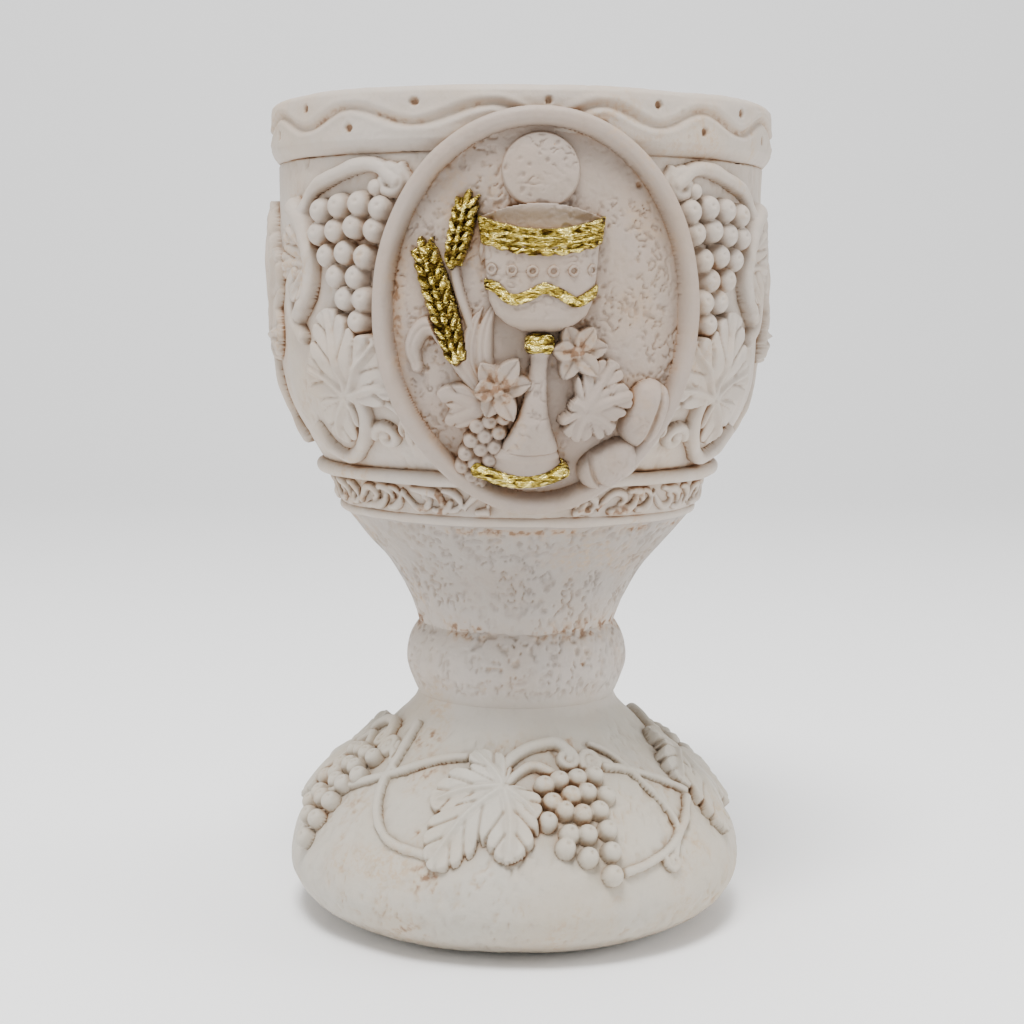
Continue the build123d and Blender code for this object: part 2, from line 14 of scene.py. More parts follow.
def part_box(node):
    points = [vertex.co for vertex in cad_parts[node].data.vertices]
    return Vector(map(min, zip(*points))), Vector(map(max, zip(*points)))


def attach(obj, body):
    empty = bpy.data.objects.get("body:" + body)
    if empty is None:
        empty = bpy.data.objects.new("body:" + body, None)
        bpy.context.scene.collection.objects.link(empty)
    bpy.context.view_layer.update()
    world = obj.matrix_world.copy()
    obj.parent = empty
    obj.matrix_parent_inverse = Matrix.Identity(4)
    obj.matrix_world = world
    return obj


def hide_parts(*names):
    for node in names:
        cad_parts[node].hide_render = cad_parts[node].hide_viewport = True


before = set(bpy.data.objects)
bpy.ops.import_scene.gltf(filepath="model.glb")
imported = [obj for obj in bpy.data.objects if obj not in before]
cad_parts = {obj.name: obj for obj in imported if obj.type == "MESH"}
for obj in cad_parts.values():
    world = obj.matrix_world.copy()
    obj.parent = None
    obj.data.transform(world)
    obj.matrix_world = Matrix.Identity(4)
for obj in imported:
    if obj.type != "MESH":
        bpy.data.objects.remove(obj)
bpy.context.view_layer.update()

MM = 0.001
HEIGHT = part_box("rim_band")[1][2] / MM
RIM_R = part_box("rim_band")[1][0] / MM
BOWL_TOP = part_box("rim_band")[0][2] / MM
NECK_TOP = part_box("lower_cord")[0][2] / MM
FRIEZE_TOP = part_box("upper_cord")[0][2] / MM
BOWL_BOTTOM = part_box("upper_cord")[1][2] / MM
KNOP_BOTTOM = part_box("knop_ring")[0][2] / MM
KNOP_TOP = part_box("knop_ring")[1][2] / MM
BORE_R = 40.6
BOWL_R = 44.2

# ---- noise on points, in millimetres ----
TABLE = np.random.default_rng(11).random(65536)


def lattice(i, j, k):
    """A fixed random value for each lattice corner."""
    return TABLE[(i * 73856093 ^ j * 19349663 ^ k * 83492791) & 65535]


def noise(p, size, seed=0):
    """Smooth noise from 0 to 1 with features of about the given size."""
    q = p / size + seed * 7.31
    c = np.floor(q).astype(np.int64)
    f = q - c
    f = f * f * (3 - 2 * f)
    i, j, k = c[..., 0], c[..., 1], c[..., 2]
    fx, fy, fz = f[..., 0], f[..., 1], f[..., 2]
    total = 0
    for a, wa in ((0, 1 - fx), (1, fx)):
        for b, wb in ((0, 1 - fy), (1, fy)):
            for d, wd in ((0, 1 - fz), (1, fz)):
                total = total + wa * wb * wd * lattice(i + a, j + b, k + d)
    return total


def bell(gap, width):
    """Smooth bump, 1 at no gap and falling with the square of it."""
    return np.exp(-((gap / width) ** 2))


def root(x):
    """Square root, zero below zero."""
    return np.sqrt(np.clip(x, 0, None))


def step(x, low, high):
    """Smooth step from 0 to 1."""
    t = np.clip((x - low) / (high - low), 0, 1)
    return t * t * (3 - 2 * t)


TILTS = [np.linalg.qr(np.random.default_rng(k).normal(size=(3, 3)))[0] for k in range(4)]


def mottle(p, size, seed=0):
    """Even noise without a lattice direction, about 0 with unit spread."""
    total = sum(noise(p @ tilt, size, seed + 3 * k) for k, tilt in enumerate(TILTS))
    return (total - 2) / 0.42


def worms(p, size, seed, cover=0.5):
    """Short incised strokes and small dents, from 0 to 1."""
    field = mottle(p, size, seed)
    strokes = step(0.40 - np.abs(field - 0.15), 0, 0.34) * step(mottle(p, size * 1.2, seed + 20), -0.5, 0.2)
    dents = step(mottle(p, size * 0.75, seed + 40), 0.8, 1.6)
    patch = step(noise(p, size * 5, seed + 5), cover - 0.14, cover + 0.12)
    return np.maximum(strokes, dents) * (0.3 + 0.7 * patch)


def clusters(p, spots, surface):
    """Stain gathered round given places, broken up by fine noise."""
    total = np.zeros(p.shape[:-1])
    for az, z, radius, strength in spots:
        far = np.linalg.norm(p - surface.spot(az, z), axis=-1)
        total = np.maximum(total, strength * bell(far, radius))
    return total * (0.35 + 0.9 * step(noise(p, 1.3, 57) * 0.6 + noise(p, 0.6, 58) * 0.4, 0.42, 0.62))


def seam(p, height, width, strength):
    """Broken line of stain at one height."""
    near = bell(p[..., 2] - height, width)
    return strength * near * step(noise(p, 7, 59), 0.35, 0.6) * step(noise(p, 0.9, 60), 0.35, 0.6)


def pits(p, cell, radius, chance, seed):
    """Round casting pits, from 0 to 1."""
    q = p / cell + seed * 3.7
    base = np.floor(q - 0.5).astype(np.int64)
    best = np.zeros(p.shape[:-1])
    for a in (0, 1):
        for b in (0, 1):
            for d in (0, 1):
                c = base + np.array((a, b, d))
                i, j, k = c[..., 0], c[..., 1], c[..., 2]
                off = np.stack([lattice(i + n, j, k + seed) for n in (101, 202, 303)], -1) * 0.5 + 0.25
                size = radius * (0.35 + 0.65 * lattice(i, j + 404, k))
                far = np.sqrt((((q - c - off) * cell) ** 2).sum(-1))
                here = step(size - far, 0, 0.3) * (lattice(i, j + 505, k + 9) < chance)
                best = np.maximum(best, here)
    return best


# ---- turned surfaces ----
def smooth_line(points, per=12):
    """Smooth curve through points."""
    p = np.asarray(points, float)
    ends = np.vstack([2 * p[0] - p[1], p, 2 * p[-1] - p[-2]])
    t = np.linspace(0, 1, per, endpoint=False)[:, None]
    out = []
    for a, b, c, d in zip(ends[:-3], ends[1:-2], ends[2:-1], ends[3:]):
        out.append(0.5 * (2 * b + (c - a) * t + (2 * a - 5 * b + 4 * c - d) * t**2
                          + (3 * b - a - 3 * c + d) * t**3))
    out.append(p[-1:])
    return np.vstack(out)


class Turned:
    """A surface of revolution, by distance along its half profile."""

    def __init__(self, line):
        line = np.asarray(line, float)
        gaps = np.hypot(*np.diff(line, axis=0).T)
        line = line[np.concatenate([[True], gaps > 1e-6])]
        self.r, self.z = line.T
        self.s = np.concatenate([[0], np.cumsum(np.hypot(np.diff(self.r), np.diff(self.z)))])

    def along(self, z):
        """Distance along a rising profile at a height."""
        return np.interp(z, self.z, self.s)

    def place(self, az, s, h=0.0):
        """Points at an azimuth, a distance along the profile and a height off the surface."""
        gap = 0.2
        low, high = np.clip(s - gap, 0, self.s[-1]), np.clip(s + gap, 0, self.s[-1])
        dr = np.interp(high, self.s, self.r) - np.interp(low, self.s, self.r)
        dz = np.interp(high, self.s, self.z) - np.interp(low, self.s, self.z)
        run = np.maximum(np.hypot(dr, dz), 1e-9)
        r = np.interp(s, self.s, self.r) + h * dz / run
        z = np.interp(s, self.s, self.z) - h * dr / run
        a = np.radians(az)
        return np.stack([r * np.sin(a), -r * np.cos(a), z + 0 * a], -1)

    def spot(self, az, z, h=0.0):
        """Point at an azimuth and a height above the table."""
        return self.place(np.asarray(az, float), self.along(z), h)


FOOT_LINE = smooth_line([(30, 0.05), (35.2, 1.6), (38.8, 3.5), (41.3, 6.3), (42.7, 10.2), (41.5, 16),
    (38.2, 21.3), (33.6, 26.4), (28.2, 31.2),
                         (22.9, 36.2), (19.7, 39.3), (18.75, 40.9), (18.3, 42.2)])
BOWL_LINE = np.vstack([smooth_line([(36.3, BOWL_BOTTOM), (39, 90.5), (42.1, 96.5), (43.8, 103),
    (BOWL_R, 110)]),
                       [(BOWL_R, 120), (BOWL_R, 130), (BOWL_R, BOWL_TOP)]])
FIELD_LINE = smooth_line([(36.6, 77), (40, 84), (43.2, 91), (45.2, 98), (46.2, 106), (46.6, 118),
    (46.4, 132),
                          (45.9, 148.5)])
NECK_LINE = smooth_line([(18.2, KNOP_TOP - 1.2), (18.6, 55.8), (19.3, 58), (20.5, 60.8), (23.9, 66.5),
    (29, 72.5), (32.2, NECK_TOP)])
FRIEZE_LINE = np.array([(33.2, NECK_TOP + 2), (33.7, 80.8), (34.5, FRIEZE_TOP)])
FOOT, BOWL, FIELD, NECK = Turned(FOOT_LINE), Turned(BOWL_LINE), Turned(FIELD_LINE), Turned(NECK_LINE)
FRIEZE = Turned(FRIEZE_LINE)
OUTSIDE = Turned(np.vstack([FOOT_LINE, [(20.6, 48)], NECK_LINE, FRIEZE_LINE, BOWL_LINE,
    [(RIM_R, 141.6), (RIM_R, HEIGHT)]]))


# ---- meshes ----
def add_piece(name, points, faces, stain, material, nodes, shade=True):
    """Mesh object from millimetre points, riding on the one body."""
    mesh = bpy.data.meshes.new(name)
    faces = np.asarray(faces, np.int32)
    mesh.vertices.add(len(points))
    mesh.vertices.foreach_set("co", (np.asarray(points) * MM).astype(np.float32).ravel())
    mesh.loops.add(faces.size)
    mesh.loops.foreach_set("vertex_index", faces.ravel())
    mesh.polygons.add(len(faces))
    mesh.polygons.foreach_set("loop_start", np.arange(0, faces.size, faces.shape[1], dtype=np.int32))
    mesh.update(calc_edges=True)
    mesh.validate()
    mesh.polygons.foreach_set("use_smooth", [shade] * len(mesh.polygons))
    layer = mesh.attributes.new("stain", "FLOAT", "POINT")
    layer.data.foreach_set("value", np.clip(stain, 0, 1).astype(np.float32).ravel())
    piece = bpy.data.objects.new(name, mesh)
    bpy.context.scene.collection.objects.link(piece)
    mesh.materials.append(material)
    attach(piece, "root")
    if nodes:
        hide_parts(*nodes)
    return piece


def grid_faces(rows, cols, wrap):
    """Quads of a grid, optionally closed round its columns."""
    i, j = np.meshgrid(np.arange(rows - 1), np.arange(cols if wrap else cols - 1), indexing="ij")
    k = (j + 1) % cols
    return np.stack([i * cols + j, i * cols + k, (i + 1) * cols + k, (i + 1) * cols + j], -1).reshape(-1, 4)


def turned_piece(name, line, step_mm, round_count, relief, material, closed_ring=False):
    """A whole ring or solid of revolution with real surface relief."""
    shape = Turned(line)
    rows = max(int(shape.s[-1] / step_mm), 4)
    s = np.linspace(0, shape.s[-1], rows)
    if closed_ring:
        s = s[:-1]
    az = np.arange(round_count) * 360 / round_count
    az_grid, s_grid = np.meshgrid(az, s)
    flat = shape.place(az_grid, s_grid)
    h, stain = relief(flat, az_grid)
    points = shape.place(az_grid, s_grid, h)
    faces = grid_faces(len(s), round_count, True)
    if closed_ring:
        j = np.arange(round_count)
        k = (j + 1) % round_count
        last = (len(s) - 1) * round_count
        faces = np.vstack([faces, np.stack([last + j, last + k, k, j], -1)])
    return add_piece(name, points.reshape(-1, 3), faces, stain, material, [name])


class Patch:
    """A window of a turned surface, on which relief is drawn as a height."""

    def __init__(self, surface, az0, az1, z0, z1, step_mm):
        s0, s1 = surface.along(z0), surface.along(z1)
        mid_r = float(np.interp((s0 + s1) / 2, surface.s, surface.r))
        cols = int(radians(az1 - az0) * mid_r / step_mm) + 1
        rows = int((s1 - s0) / step_mm) + 1
        self.surface = surface
        self.az, self.s = np.meshgrid(np.linspace(az0, az1, cols), np.linspace(s0, s1, rows))
        self.p = surface.place(self.az, self.s)
        self.specks = pits(self.p, 3.2, 0.5, 0.3, 17) * step(noise(self.p, 6, 23), 0.42, 0.6) * 0.8

    def flat(self, az, z, turn=0.0):
        """Coordinates on the plane that touches the surface there."""
        o = self.surface.spot(az, z)
        a = radians(az)
        right = np.array((cos(a), sin(a), 0))
        up = self.surface.spot(az, z + 0.3) - self.surface.spot(az, z - 0.3)
        up = up / np.linalg.norm(up)
        d = self.p - o
        x, y = d @ right, d @ up
        t = radians(turn)
        return x * cos(t) + y * sin(t), -x * sin(t) + y * cos(t)

    def far(self, line):
        """Distance from a line of points, and how far along it."""
        best = np.full(self.az.shape, 1e9)
        where = np.zeros(self.az.shape)
        run = 0.0
        for a, b in zip(line[:-1], line[1:]):
            ab = b - a
            size = float(np.linalg.norm(ab))
            t = np.clip(((self.p - a) @ ab) / max(size**2, 1e-9), 0, 1)
            d = np.linalg.norm(self.p - a - t[..., None] * ab, axis=-1)
            near = d < best
            best = np.where(near, d, best)
            where = np.where(near, run + t * size, where)
            run += size
        return best, where / max(run, 1e-9)

    def rope(self, places, radius, lift=0.25, taper=0.0):
        """Height of a round vine."""
        line = smooth_line(self.surface.spot(*np.array(places, float).T), 6)
        d, t = self.far(line)
        r = radius * (1 - taper * t) * (0.82 + 0.36 * noise(self.p, 2.4, 19))
        return dome(d, r, lift)

    def curl(self, az, z, radius, turns, start, rope_r, sense=1, lift=0.25):
        """Height of a spiral tendril end."""
        t = np.linspace(0, 1, int(14 * turns))
        a = np.radians(start + sense * 360 * turns * t)
        r = radius * (1 - 0.8 * t)
        scale = degrees(1 / float(np.interp(self.surface.along(z), self.surface.s, self.surface.r)))
        places = self.surface.spot(az + r * np.cos(a) * scale, z + r * np.sin(a) * 0.85)
        d, _ = self.far(places)
        return dome(d, rope_r, lift)

    def ball(self, az, z, radius, lift=0.3, dimple=0.0):
        """Height of a berry, with a dimple for the berry's eye."""
        c = self.surface.spot(az, z)
        d = np.linalg.norm(self.p - c, axis=-1)
        h = dome(d, radius, lift)
        if dimple:
            eye = self.surface.spot(az + 0.5, z + radius * 0.2)
            h = h - dimple * bell(np.linalg.norm(self.p - eye, axis=-1), 0.36)
        return h

    def closed(self, h, low, shown):
        """Points and faces of a closed sheet between two heights, and which grid points it uses."""
        quad = shown[:-1, :-1] & shown[1:, :-1] & shown[:-1, 1:] & shown[1:, 1:]
        size = h.size
        faces = grid_faces(*h.shape, False)[quad.ravel()]
        edges = np.vstack([faces[:, [0, 1]], faces[:, [1, 2]], faces[:, [2, 3]], faces[:, [3, 0]]])
        ahead, behind = (edges[:, k].astype(np.int64) * size + edges[:, 1 - k] for k in (0, 1))
        a, b = edges[~np.isin(ahead, behind)].T
        walls = np.stack([b, a, a + size, b + size], -1)
        points = np.vstack([self.surface.place(self.az, self.s, height).reshape(-1, 3) for height in (h,
            low)])
        used, all_faces = np.unique(np.vstack([faces, faces[:, ::-1] + size, walls]), return_inverse=True)
        return points[used], all_faces.reshape(-1, 4), used

    def piece(self, name, h, material, slot, nodes, turns=((0, False),), stain=None, floor=-0.5,
              keep=None, sunk=-0.35):
        """Closed relief pieces from a height, one for each place round the axis."""
        shown = h > sunk
        if keep is not None:
            shown &= keep
        points, all_faces, used = self.closed(h, np.minimum(h - 0.25, floor), shown)
        marks = np.concatenate([(self.specks if stain is None else np.maximum(stain,
            self.specks)).ravel()] * 2)[used]
        for n, (az, flip) in enumerate(turns):
            a = radians(az)
            spin = np.array([[cos(a), -sin(a), 0], [sin(a), cos(a), 0], [0, 0, 1]])
            own = points * (np.array((-1, 1, 1)) if flip else 1)
            own_faces = all_faces[:, ::-1] if flip else all_faces
            label = name if len(turns) == 1 else f"{name}_{n + 1}"
            add_piece(label, own @ spin.T, own_faces, marks, material, nodes[n] if nodes else [])


def dome(d, r, lift):
    """Round cross-section of radius r whose centre is at a height, falling steeply outside."""
    inside = root(r * r - d * d)
    return np.where(d < r, lift + inside, lift - (d - r) * 4)


def top(*heights):
    """Highest of several reliefs."""
    best = heights[0]
    for h in heights[1:]:
        best = np.maximum(best, h)
    return best


def leaf(patch, base, tips, lift=1.2, tooth=0.16, rib=0.5, seed=0, pitch=3.4):
    """Lobed leaf: one lobe from the stalk to each tip, made of rounded fingers either side of a rib."""
    x, y = patch.flat(*base)
    inside = np.full(x.shape, -9.0)
    ribs = np.zeros(x.shape)
    fingers = np.zeros(x.shape)
    cup = np.zeros(x.shape)
    for az, z, wide in tips:
        tx, ty = local(patch.surface, base, az, z)
        size = np.hypot(tx, ty)
        ux, uy = tx / size, ty / size
        a, b = x * ux + y * uy, -x * uy + y * ux
        bend = 0.05 * size * np.sin(pi * np.clip(a / size, 0, 1)) * (1 if tx > 0 else -1)
        b = b - bend
        t = np.clip(a / size, 0, 1)
        fold = 2 * np.abs(((a - 1.35 * np.abs(b)) / pitch) % 1 - 0.5)
        width = wide * np.sin(pi * np.clip(t, 0.03, 1) ** 1.05) ** 0.5
        width = width * (1 + tooth * (1 - 2 * fold**3))
        m = np.where((a > -0.3) & (a < size), width - np.abs(b),
            -np.hypot(np.clip(a - size, 0, None), b) - 0.01)
        own = m > inside
        inside = np.maximum(inside, m)
        along = step(t, -0.05, 0.08) * step(t, 0.99, 0.85)
        ribs = np.maximum(ribs, bell(b, 0.55 - 0.2 * t) * along)
        side = step(np.abs(b), 0.5, 1.1) * step(np.hypot(x, y), 1.2, 2.6)
        finger = (fold**7 + 0.3 * bell(np.abs(b) - 0.8, 0.3)) * side
        fingers = np.where(own, finger, fingers)
        cup = np.where(own, np.clip(np.abs(b) / np.maximum(width, 0.3), 0, 1), cup)
    lip = step(inside, 0, 0.8) ** 0.5
    wave = noise(patch.p, 5, seed) - 0.5
    swell = 0.85 + 0.25 * cup - 0.1 * cup**2 + 0.8 * wave
    h = lift * lip * swell + rib * ribs * lip - 0.7 * fingers * step(inside, 0.1, 0.8)
    h = np.where(inside > 0, np.maximum(h, 0.05), inside * 3)
    return h, inside


def local(surface, base, az, z):
    """Place of one surface point on the plane that touches the surface at another."""
    o = surface.spot(*base)
    a = radians(base[0])
    right = np.array((cos(a), sin(a), 0))
    up = surface.spot(base[0], base[1] + 0.3) - surface.spot(base[0], base[1] - 0.3)
    up = up / np.linalg.norm(up)
    d = surface.spot(az, z) - o
    return float(d @ right), float(d @ up)


def petals(patch, base, tips, wide, lift=1.5):
    """Pointed flower petals round a button."""
    x, y = patch.flat(*base)
    h = np.full(x.shape, -9.0)
    for n, (az, z) in enumerate(tips):
        tx, ty = local(patch.surface, base, az, z)
        size = np.hypot(tx, ty)
        ux, uy = tx / size, ty / size
        a, b = x * ux + y * uy, -x * uy + y * ux
        t = np.clip(a / size, 0, 1)
        width = wide * np.sin(pi * np.clip(t, 0.02, 1) ** 0.9) ** 0.75
        m = np.where((a > 0) & (a < size), width - np.abs(b), -1)
        edge = np.clip(np.abs(b) / np.maximum(width, 0.2), 0, 1)
        own = (lift * (0.75 + 0.35 * t + 0.22 * (n % 2)) + 0.4 * edge**2 - 0.3 * bell(b, 0.2)) * step(m,
            0, 0.4)
        h = np.maximum(h, np.where(m > 0, own, m * 3))
    return h


# ---- materials ----
def resin(name, base, wash, stain_color, warmth=0.5, low=None, shade_up=1.0):
    """Matte cast resin: mottled ivory, brown antiquing in the hollows, fine pores; painted shade in broad
    hollows, and painted shade higher up set by low and shade_up.
    """
    material = bpy.data.materials.new(name)
    material.use_nodes = True
    tree = material.node_tree
    nodes, links = tree.nodes, tree.links
    shader = nodes["Principled BSDF"]
    where = nodes.new("ShaderNodeTexCoord").outputs["Object"]

    def noise_node(scale, detail, rough=0.55):
        n = nodes.new("ShaderNodeTexNoise")
        n.inputs["Scale"].default_value = scale
        n.inputs["Detail"].default_value = detail
        n.inputs["Roughness"].default_value = rough
        links.new(where, n.inputs["Vector"])
        return n.outputs["Fac"]

    def ramp(value, low, high, out_low=0.0, out_high=1.0):
        n = nodes.new("ShaderNodeMapRange")
        n.interpolation_type = "SMOOTHSTEP"
        for key, v in (("From Min", low), ("From Max", high), ("To Min", out_low), ("To Max", out_high)):
            n.inputs[key].default_value = v
        links.new(value, n.inputs["Value"])
        return n.outputs["Result"]

    def maths(kind, a, b):
        n = nodes.new("ShaderNodeMath")
        n.operation = kind
        for socket, v in zip(n.inputs, (a, b)):
            if isinstance(v, (int, float)):
                socket.default_value = v
            else:
                links.new(v, socket)
        return n.outputs[0]

    def blend(fac, a, b):
        n = nodes.new("ShaderNodeMix")
        n.data_type = "RGBA"
        links.new(fac, n.inputs["Factor"])
        for socket, v in ((n.inputs["A"], a), (n.inputs["B"], b)):
            if isinstance(v, tuple):
                socket.default_value = (*v, 1)
            else:
                links.new(v, socket)
        return n.outputs["Result"]

    def tint(fac, color, by):
        n = nodes.new("ShaderNodeMix")
        n.data_type, n.blend_type = "RGBA", "MULTIPLY"
        links.new(fac, n.inputs["Factor"])
        if isinstance(color, tuple):
            n.inputs["A"].default_value = (*color, 1)
        else:
            links.new(color, n.inputs["A"])
        n.inputs["B"].default_value = (*by, 1)
        return n.outputs["Result"]

    hollow = nodes.new("ShaderNodeAmbientOcclusion")
    hollow.samples = 8
    hollow.inputs["Distance"].default_value = 1.6 * MM
    crease = ramp(hollow.outputs["AO"], 0.86, 0.3)
    # Painted shade: broad ambient occlusion finds wider hollows and places under overhangs.
    broad = nodes.new("ShaderNodeAmbientOcclusion")
    broad.samples = 6
    broad.inputs["Distance"].default_value = 5 * MM
    above = nodes.new("ShaderNodeSeparateXYZ")
    links.new(where, above.inputs[0])
    clear = ramp(above.outputs["Z"], 0.8 * MM, 4 * MM)
    mark = nodes.new("ShaderNodeAttribute")
    mark.attribute_name = "stain"
    patchy = ramp(noise_node(90, 5, 0.65), 0.42, 0.62, 0.15, 1.0)
    fine = ramp(noise_node(900, 3), 0.35, 0.7, 0.45, 1.0)
    creased = maths("MULTIPLY", maths("MULTIPLY", maths("MULTIPLY", crease, patchy), wash), clear)
    painted_broad_shade = maths("MULTIPLY", maths("MULTIPLY", ramp(broad.outputs["AO"], 0.95, 0.35), 0.62), clear)
    dirt = maths("MAXIMUM", creased, maths("MULTIPLY", mark.outputs["Fac"], fine))
    # Painted shade: the lighter low colour below 35 mm gives way to the darker base colour above 47 mm.
    body = blend(ramp(above.outputs["Z"], 35 * MM, 47 * MM), low or base, base)
    # Painted shadow under the bowl: from 52 mm to 66 mm the colour is multiplied down by shade_up.
    body = tint(ramp(above.outputs["Z"], 52 * MM, 66 * MM), body, (shade_up, shade_up, shade_up))
    body = tint(ramp(noise_node(38, 4), 0.3 + 0.2 * (1 - warmth), 0.75), body, (1.01, 0.975, 0.92))
    body = tint(maths("MULTIPLY", ramp(noise_node(420, 5, 0.7), 0.5, 0.75), 0.6), body, (0.86, 0.86, 0.86))
    body = tint(maths("MULTIPLY", patchy, 0.5), body, (1.0, 0.93, 0.86))
    rusty = maths("MULTIPLY", ramp(noise_node(46, 3, 0.6), 0.54, 0.68),
        ramp(noise_node(720, 4, 0.7), 0.46, 0.62))
    body = blend(maths("MULTIPLY", maths("MULTIPLY", rusty, 0.5), clear), body, RUST)
    body = tint(maths("MULTIPLY", ramp(noise_node(28, 3), 0.55, 0.75), 0.4), body, (0.98, 0.88, 0.72))
    # Painted shade: the resin is darkened and browned where the broad occlusion finds shelter.
    body = tint(painted_broad_shade, body, (0.58, 0.46, 0.36))
    color = blend(ramp(dirt, 0.0, 0.75, 0.0, 0.9), body, blend(ramp(dirt, 0.15, 0.7), RUST, stain_color))
    links.new(color, shader.inputs["Base Color"])
    links.new(ramp(noise_node(250, 3), 0.3, 0.7, 0.5, 0.68), shader.inputs["Roughness"])
    shader.inputs["Specular IOR Level"].default_value = 0.35
    bump = nodes.new("ShaderNodeBump")
    bump.inputs["Strength"].default_value = 0.6
    bump.inputs["Distance"].default_value = 0.3 * MM
    grain = maths("ADD", maths("MULTIPLY", noise_node(1300, 3), 0.35), noise_node(430, 4, 0.6))
    links.new(grain, bump.inputs["Height"])
    links.new(bump.outputs["Normal"], shader.inputs["Normal"])
    return material


def gold(name):
    """Crinkled, cracked gold leaf, with painted shade in its fold hollows and creases and painted
    highlights on its fold crests.
    """
    material = bpy.data.materials.new(name)
    material.use_nodes = True
    tree = material.node_tree
    nodes, links = tree.nodes, tree.links
    shader = nodes["Principled BSDF"]
    where = nodes.new("ShaderNodeTexCoord").outputs["Object"]
    cells = nodes.new("ShaderNodeTexVoronoi")
    cells.feature = "DISTANCE_TO_EDGE"
    cells.inputs["Scale"].default_value = 900
    folds = nodes.new("ShaderNodeTexNoise")
    folds.inputs["Scale"].default_value = 620
    folds.inputs["Detail"].default_value = 5
    folds.inputs["Distortion"].default_value = 1.2
    across = nodes.new("ShaderNodeVectorMath")
    across.operation = "MULTIPLY"
    across.inputs[1].default_value = (0.7, 0.7, 1.9)
    links.new(where, across.inputs[0])
    for n in (cells, folds):
        links.new(across.outputs[0], n.inputs["Vector"])
    # Painted shade and highlight: the colour runs from near black in the fold hollows to bright gold on the
    # crests of the same folds that make the bump.
    fold_shade_and_highlight = nodes.new("ShaderNodeValToRGB")
    fold_shade_and_highlight.color_ramp.elements[0].position = 0.36
    fold_shade_and_highlight.color_ramp.elements[0].color = (0.06, 0.032, 0.006, 1)
    fold_shade_and_highlight.color_ramp.elements[1].position = 0.49
    fold_shade_and_highlight.color_ramp.elements[1].color = (0.46, 0.34, 0.055, 1)
    painted_highlight = fold_shade_and_highlight.color_ramp.elements.new(0.60)
    painted_highlight.color = (0.92, 0.78, 0.26, 1)
    links.new(folds.outputs["Fac"], fold_shade_and_highlight.inputs["Fac"])
    # Painted shade: creases found by ambient occlusion are mixed towards dark brown.
    hollow = nodes.new("ShaderNodeAmbientOcclusion")
    hollow.samples = 8
    hollow.inputs["Distance"].default_value = 0.9 * MM
    shade = nodes.new("ShaderNodeMapRange")
    for key, v in (("From Min", 0.85), ("From Max", 0.4)):
        shade.inputs[key].default_value = v
    links.new(hollow.outputs["AO"], shade.inputs["Value"])
    mix = nodes.new("ShaderNodeMix")
    mix.data_type = "RGBA"
    links.new(shade.outputs["Result"], mix.inputs["Factor"])
    links.new(fold_shade_and_highlight.outputs["Color"], mix.inputs["A"])
    mix.inputs["B"].default_value = (0.15, 0.09, 0.02, 1)
    links.new(mix.outputs["Result"], shader.inputs["Base Color"])
    shader.inputs["Metallic"].default_value = 1.0
    rough = nodes.new("ShaderNodeMapRange")
    for key, v in (("From Min", 0.3), ("From Max", 0.7), ("To Min", 0.4), ("To Max", 0.16)):
        rough.inputs[key].default_value = v
    links.new(folds.outputs["Fac"], rough.inputs["Value"])
    links.new(rough.outputs["Result"], shader.inputs["Roughness"])
    bump = nodes.new("ShaderNodeBump")
    bump.inputs["Strength"].default_value = 1.0
    bump.inputs["Distance"].default_value = 0.7 * MM
    total = nodes.new("ShaderNodeMath")
    total.operation = "MULTIPLY_ADD"
    links.new(folds.outputs["Fac"], total.inputs[0])
    total.inputs[1].default_value = 1.0
    links.new(cells.outputs["Distance"], total.inputs[2])
    links.new(total.outputs[0], bump.inputs["Height"])
    links.new(bump.outputs["Normal"], shader.inputs["Normal"])
    return material


BROWN = (0.19, 0.095, 0.042)
RUST = (0.42, 0.275, 0.155)
CUP_COLOR = (0.448, 0.395, 0.345)
# The medallion colour is the cup resin darkened as painted shade over the medallion, and made warmer in
# tint.
MEDAL_SHADED_COLOR = (0.355, 0.292, 0.247)
# The stem colour is the foot resin darkened as painted shade, for the stem in the shadow of the bowl.
SHADED_STEM_COLOR = (0.445, 0.40, 0.36)
FOOT_COLOR = (0.458, 0.427, 0.369)
CUP_RESIN = resin("cup_resin", CUP_COLOR, 0.85, BROWN)
MEDAL_RESIN = resin("medallion_resin", MEDAL_SHADED_COLOR, 0.9, BROWN)
STEM_RESIN = resin("stem_resin", SHADED_STEM_COLOR, 0.8, BROWN, 0.5, FOOT_COLOR, 0.75)
FOOT_RESIN = resin("foot_resin", SHADED_STEM_COLOR, 0.85, BROWN, 0.8, FOOT_COLOR)
GOLD = gold("gold_leaf")


# ---- turned pieces ----
def pitted(depth, pit_depth, cover, mark, seed, size=1.7, chance=0.35, pit_r=0.75, extra=None):
    """Relief for plain walls: soft unevenness, incised worms and casting pits."""
    def relief(p, az):
        lines = worms(p, size, seed, cover)
        holes = pits(p, 4.2, pit_r, chance, seed)
        soft = (noise(p, 9, seed + 8) - 0.5) * 0.5 + (noise(p, 3, seed + 9) - 0.5) * 0.16
        stained = holes * step(noise(p, 5, seed + 3), 0.3, 0.55) * mark
        worn = lines * step(noise(p, 9, seed + 4), 0.42, 0.68) * mark * 0.5
        stain = np.maximum(stained, worn)
        if extra is not None:
            stain = np.maximum(stain, extra(p))
        return soft - depth * lines - pit_depth * holes, stain
    return relief


def hide_ends(relief, outer):
    """Keeps relief to the outer wall."""
    def limited(p, az):
        h, stain = relief(p, az)
        on = outer(np.hypot(p[..., 0], p[..., 1]), p[..., 2])
        return h * on, stain * on
    return limited


def foot_marks(p):
    """Rusty places on the foot."""
    return np.maximum(clusters(p, FOOT_SPOTS, FOOT), seam(p, 38.6, 1.6, 0.35))


def neck_marks(p):
    """Stain in the valleys of the stem."""
    return np.maximum(np.maximum(seam(p, 55.6, 1.9, 1.0), seam(p, 75.2, 0.7, 0.8)), seam(p, 41.8, 0.9, 0.5))


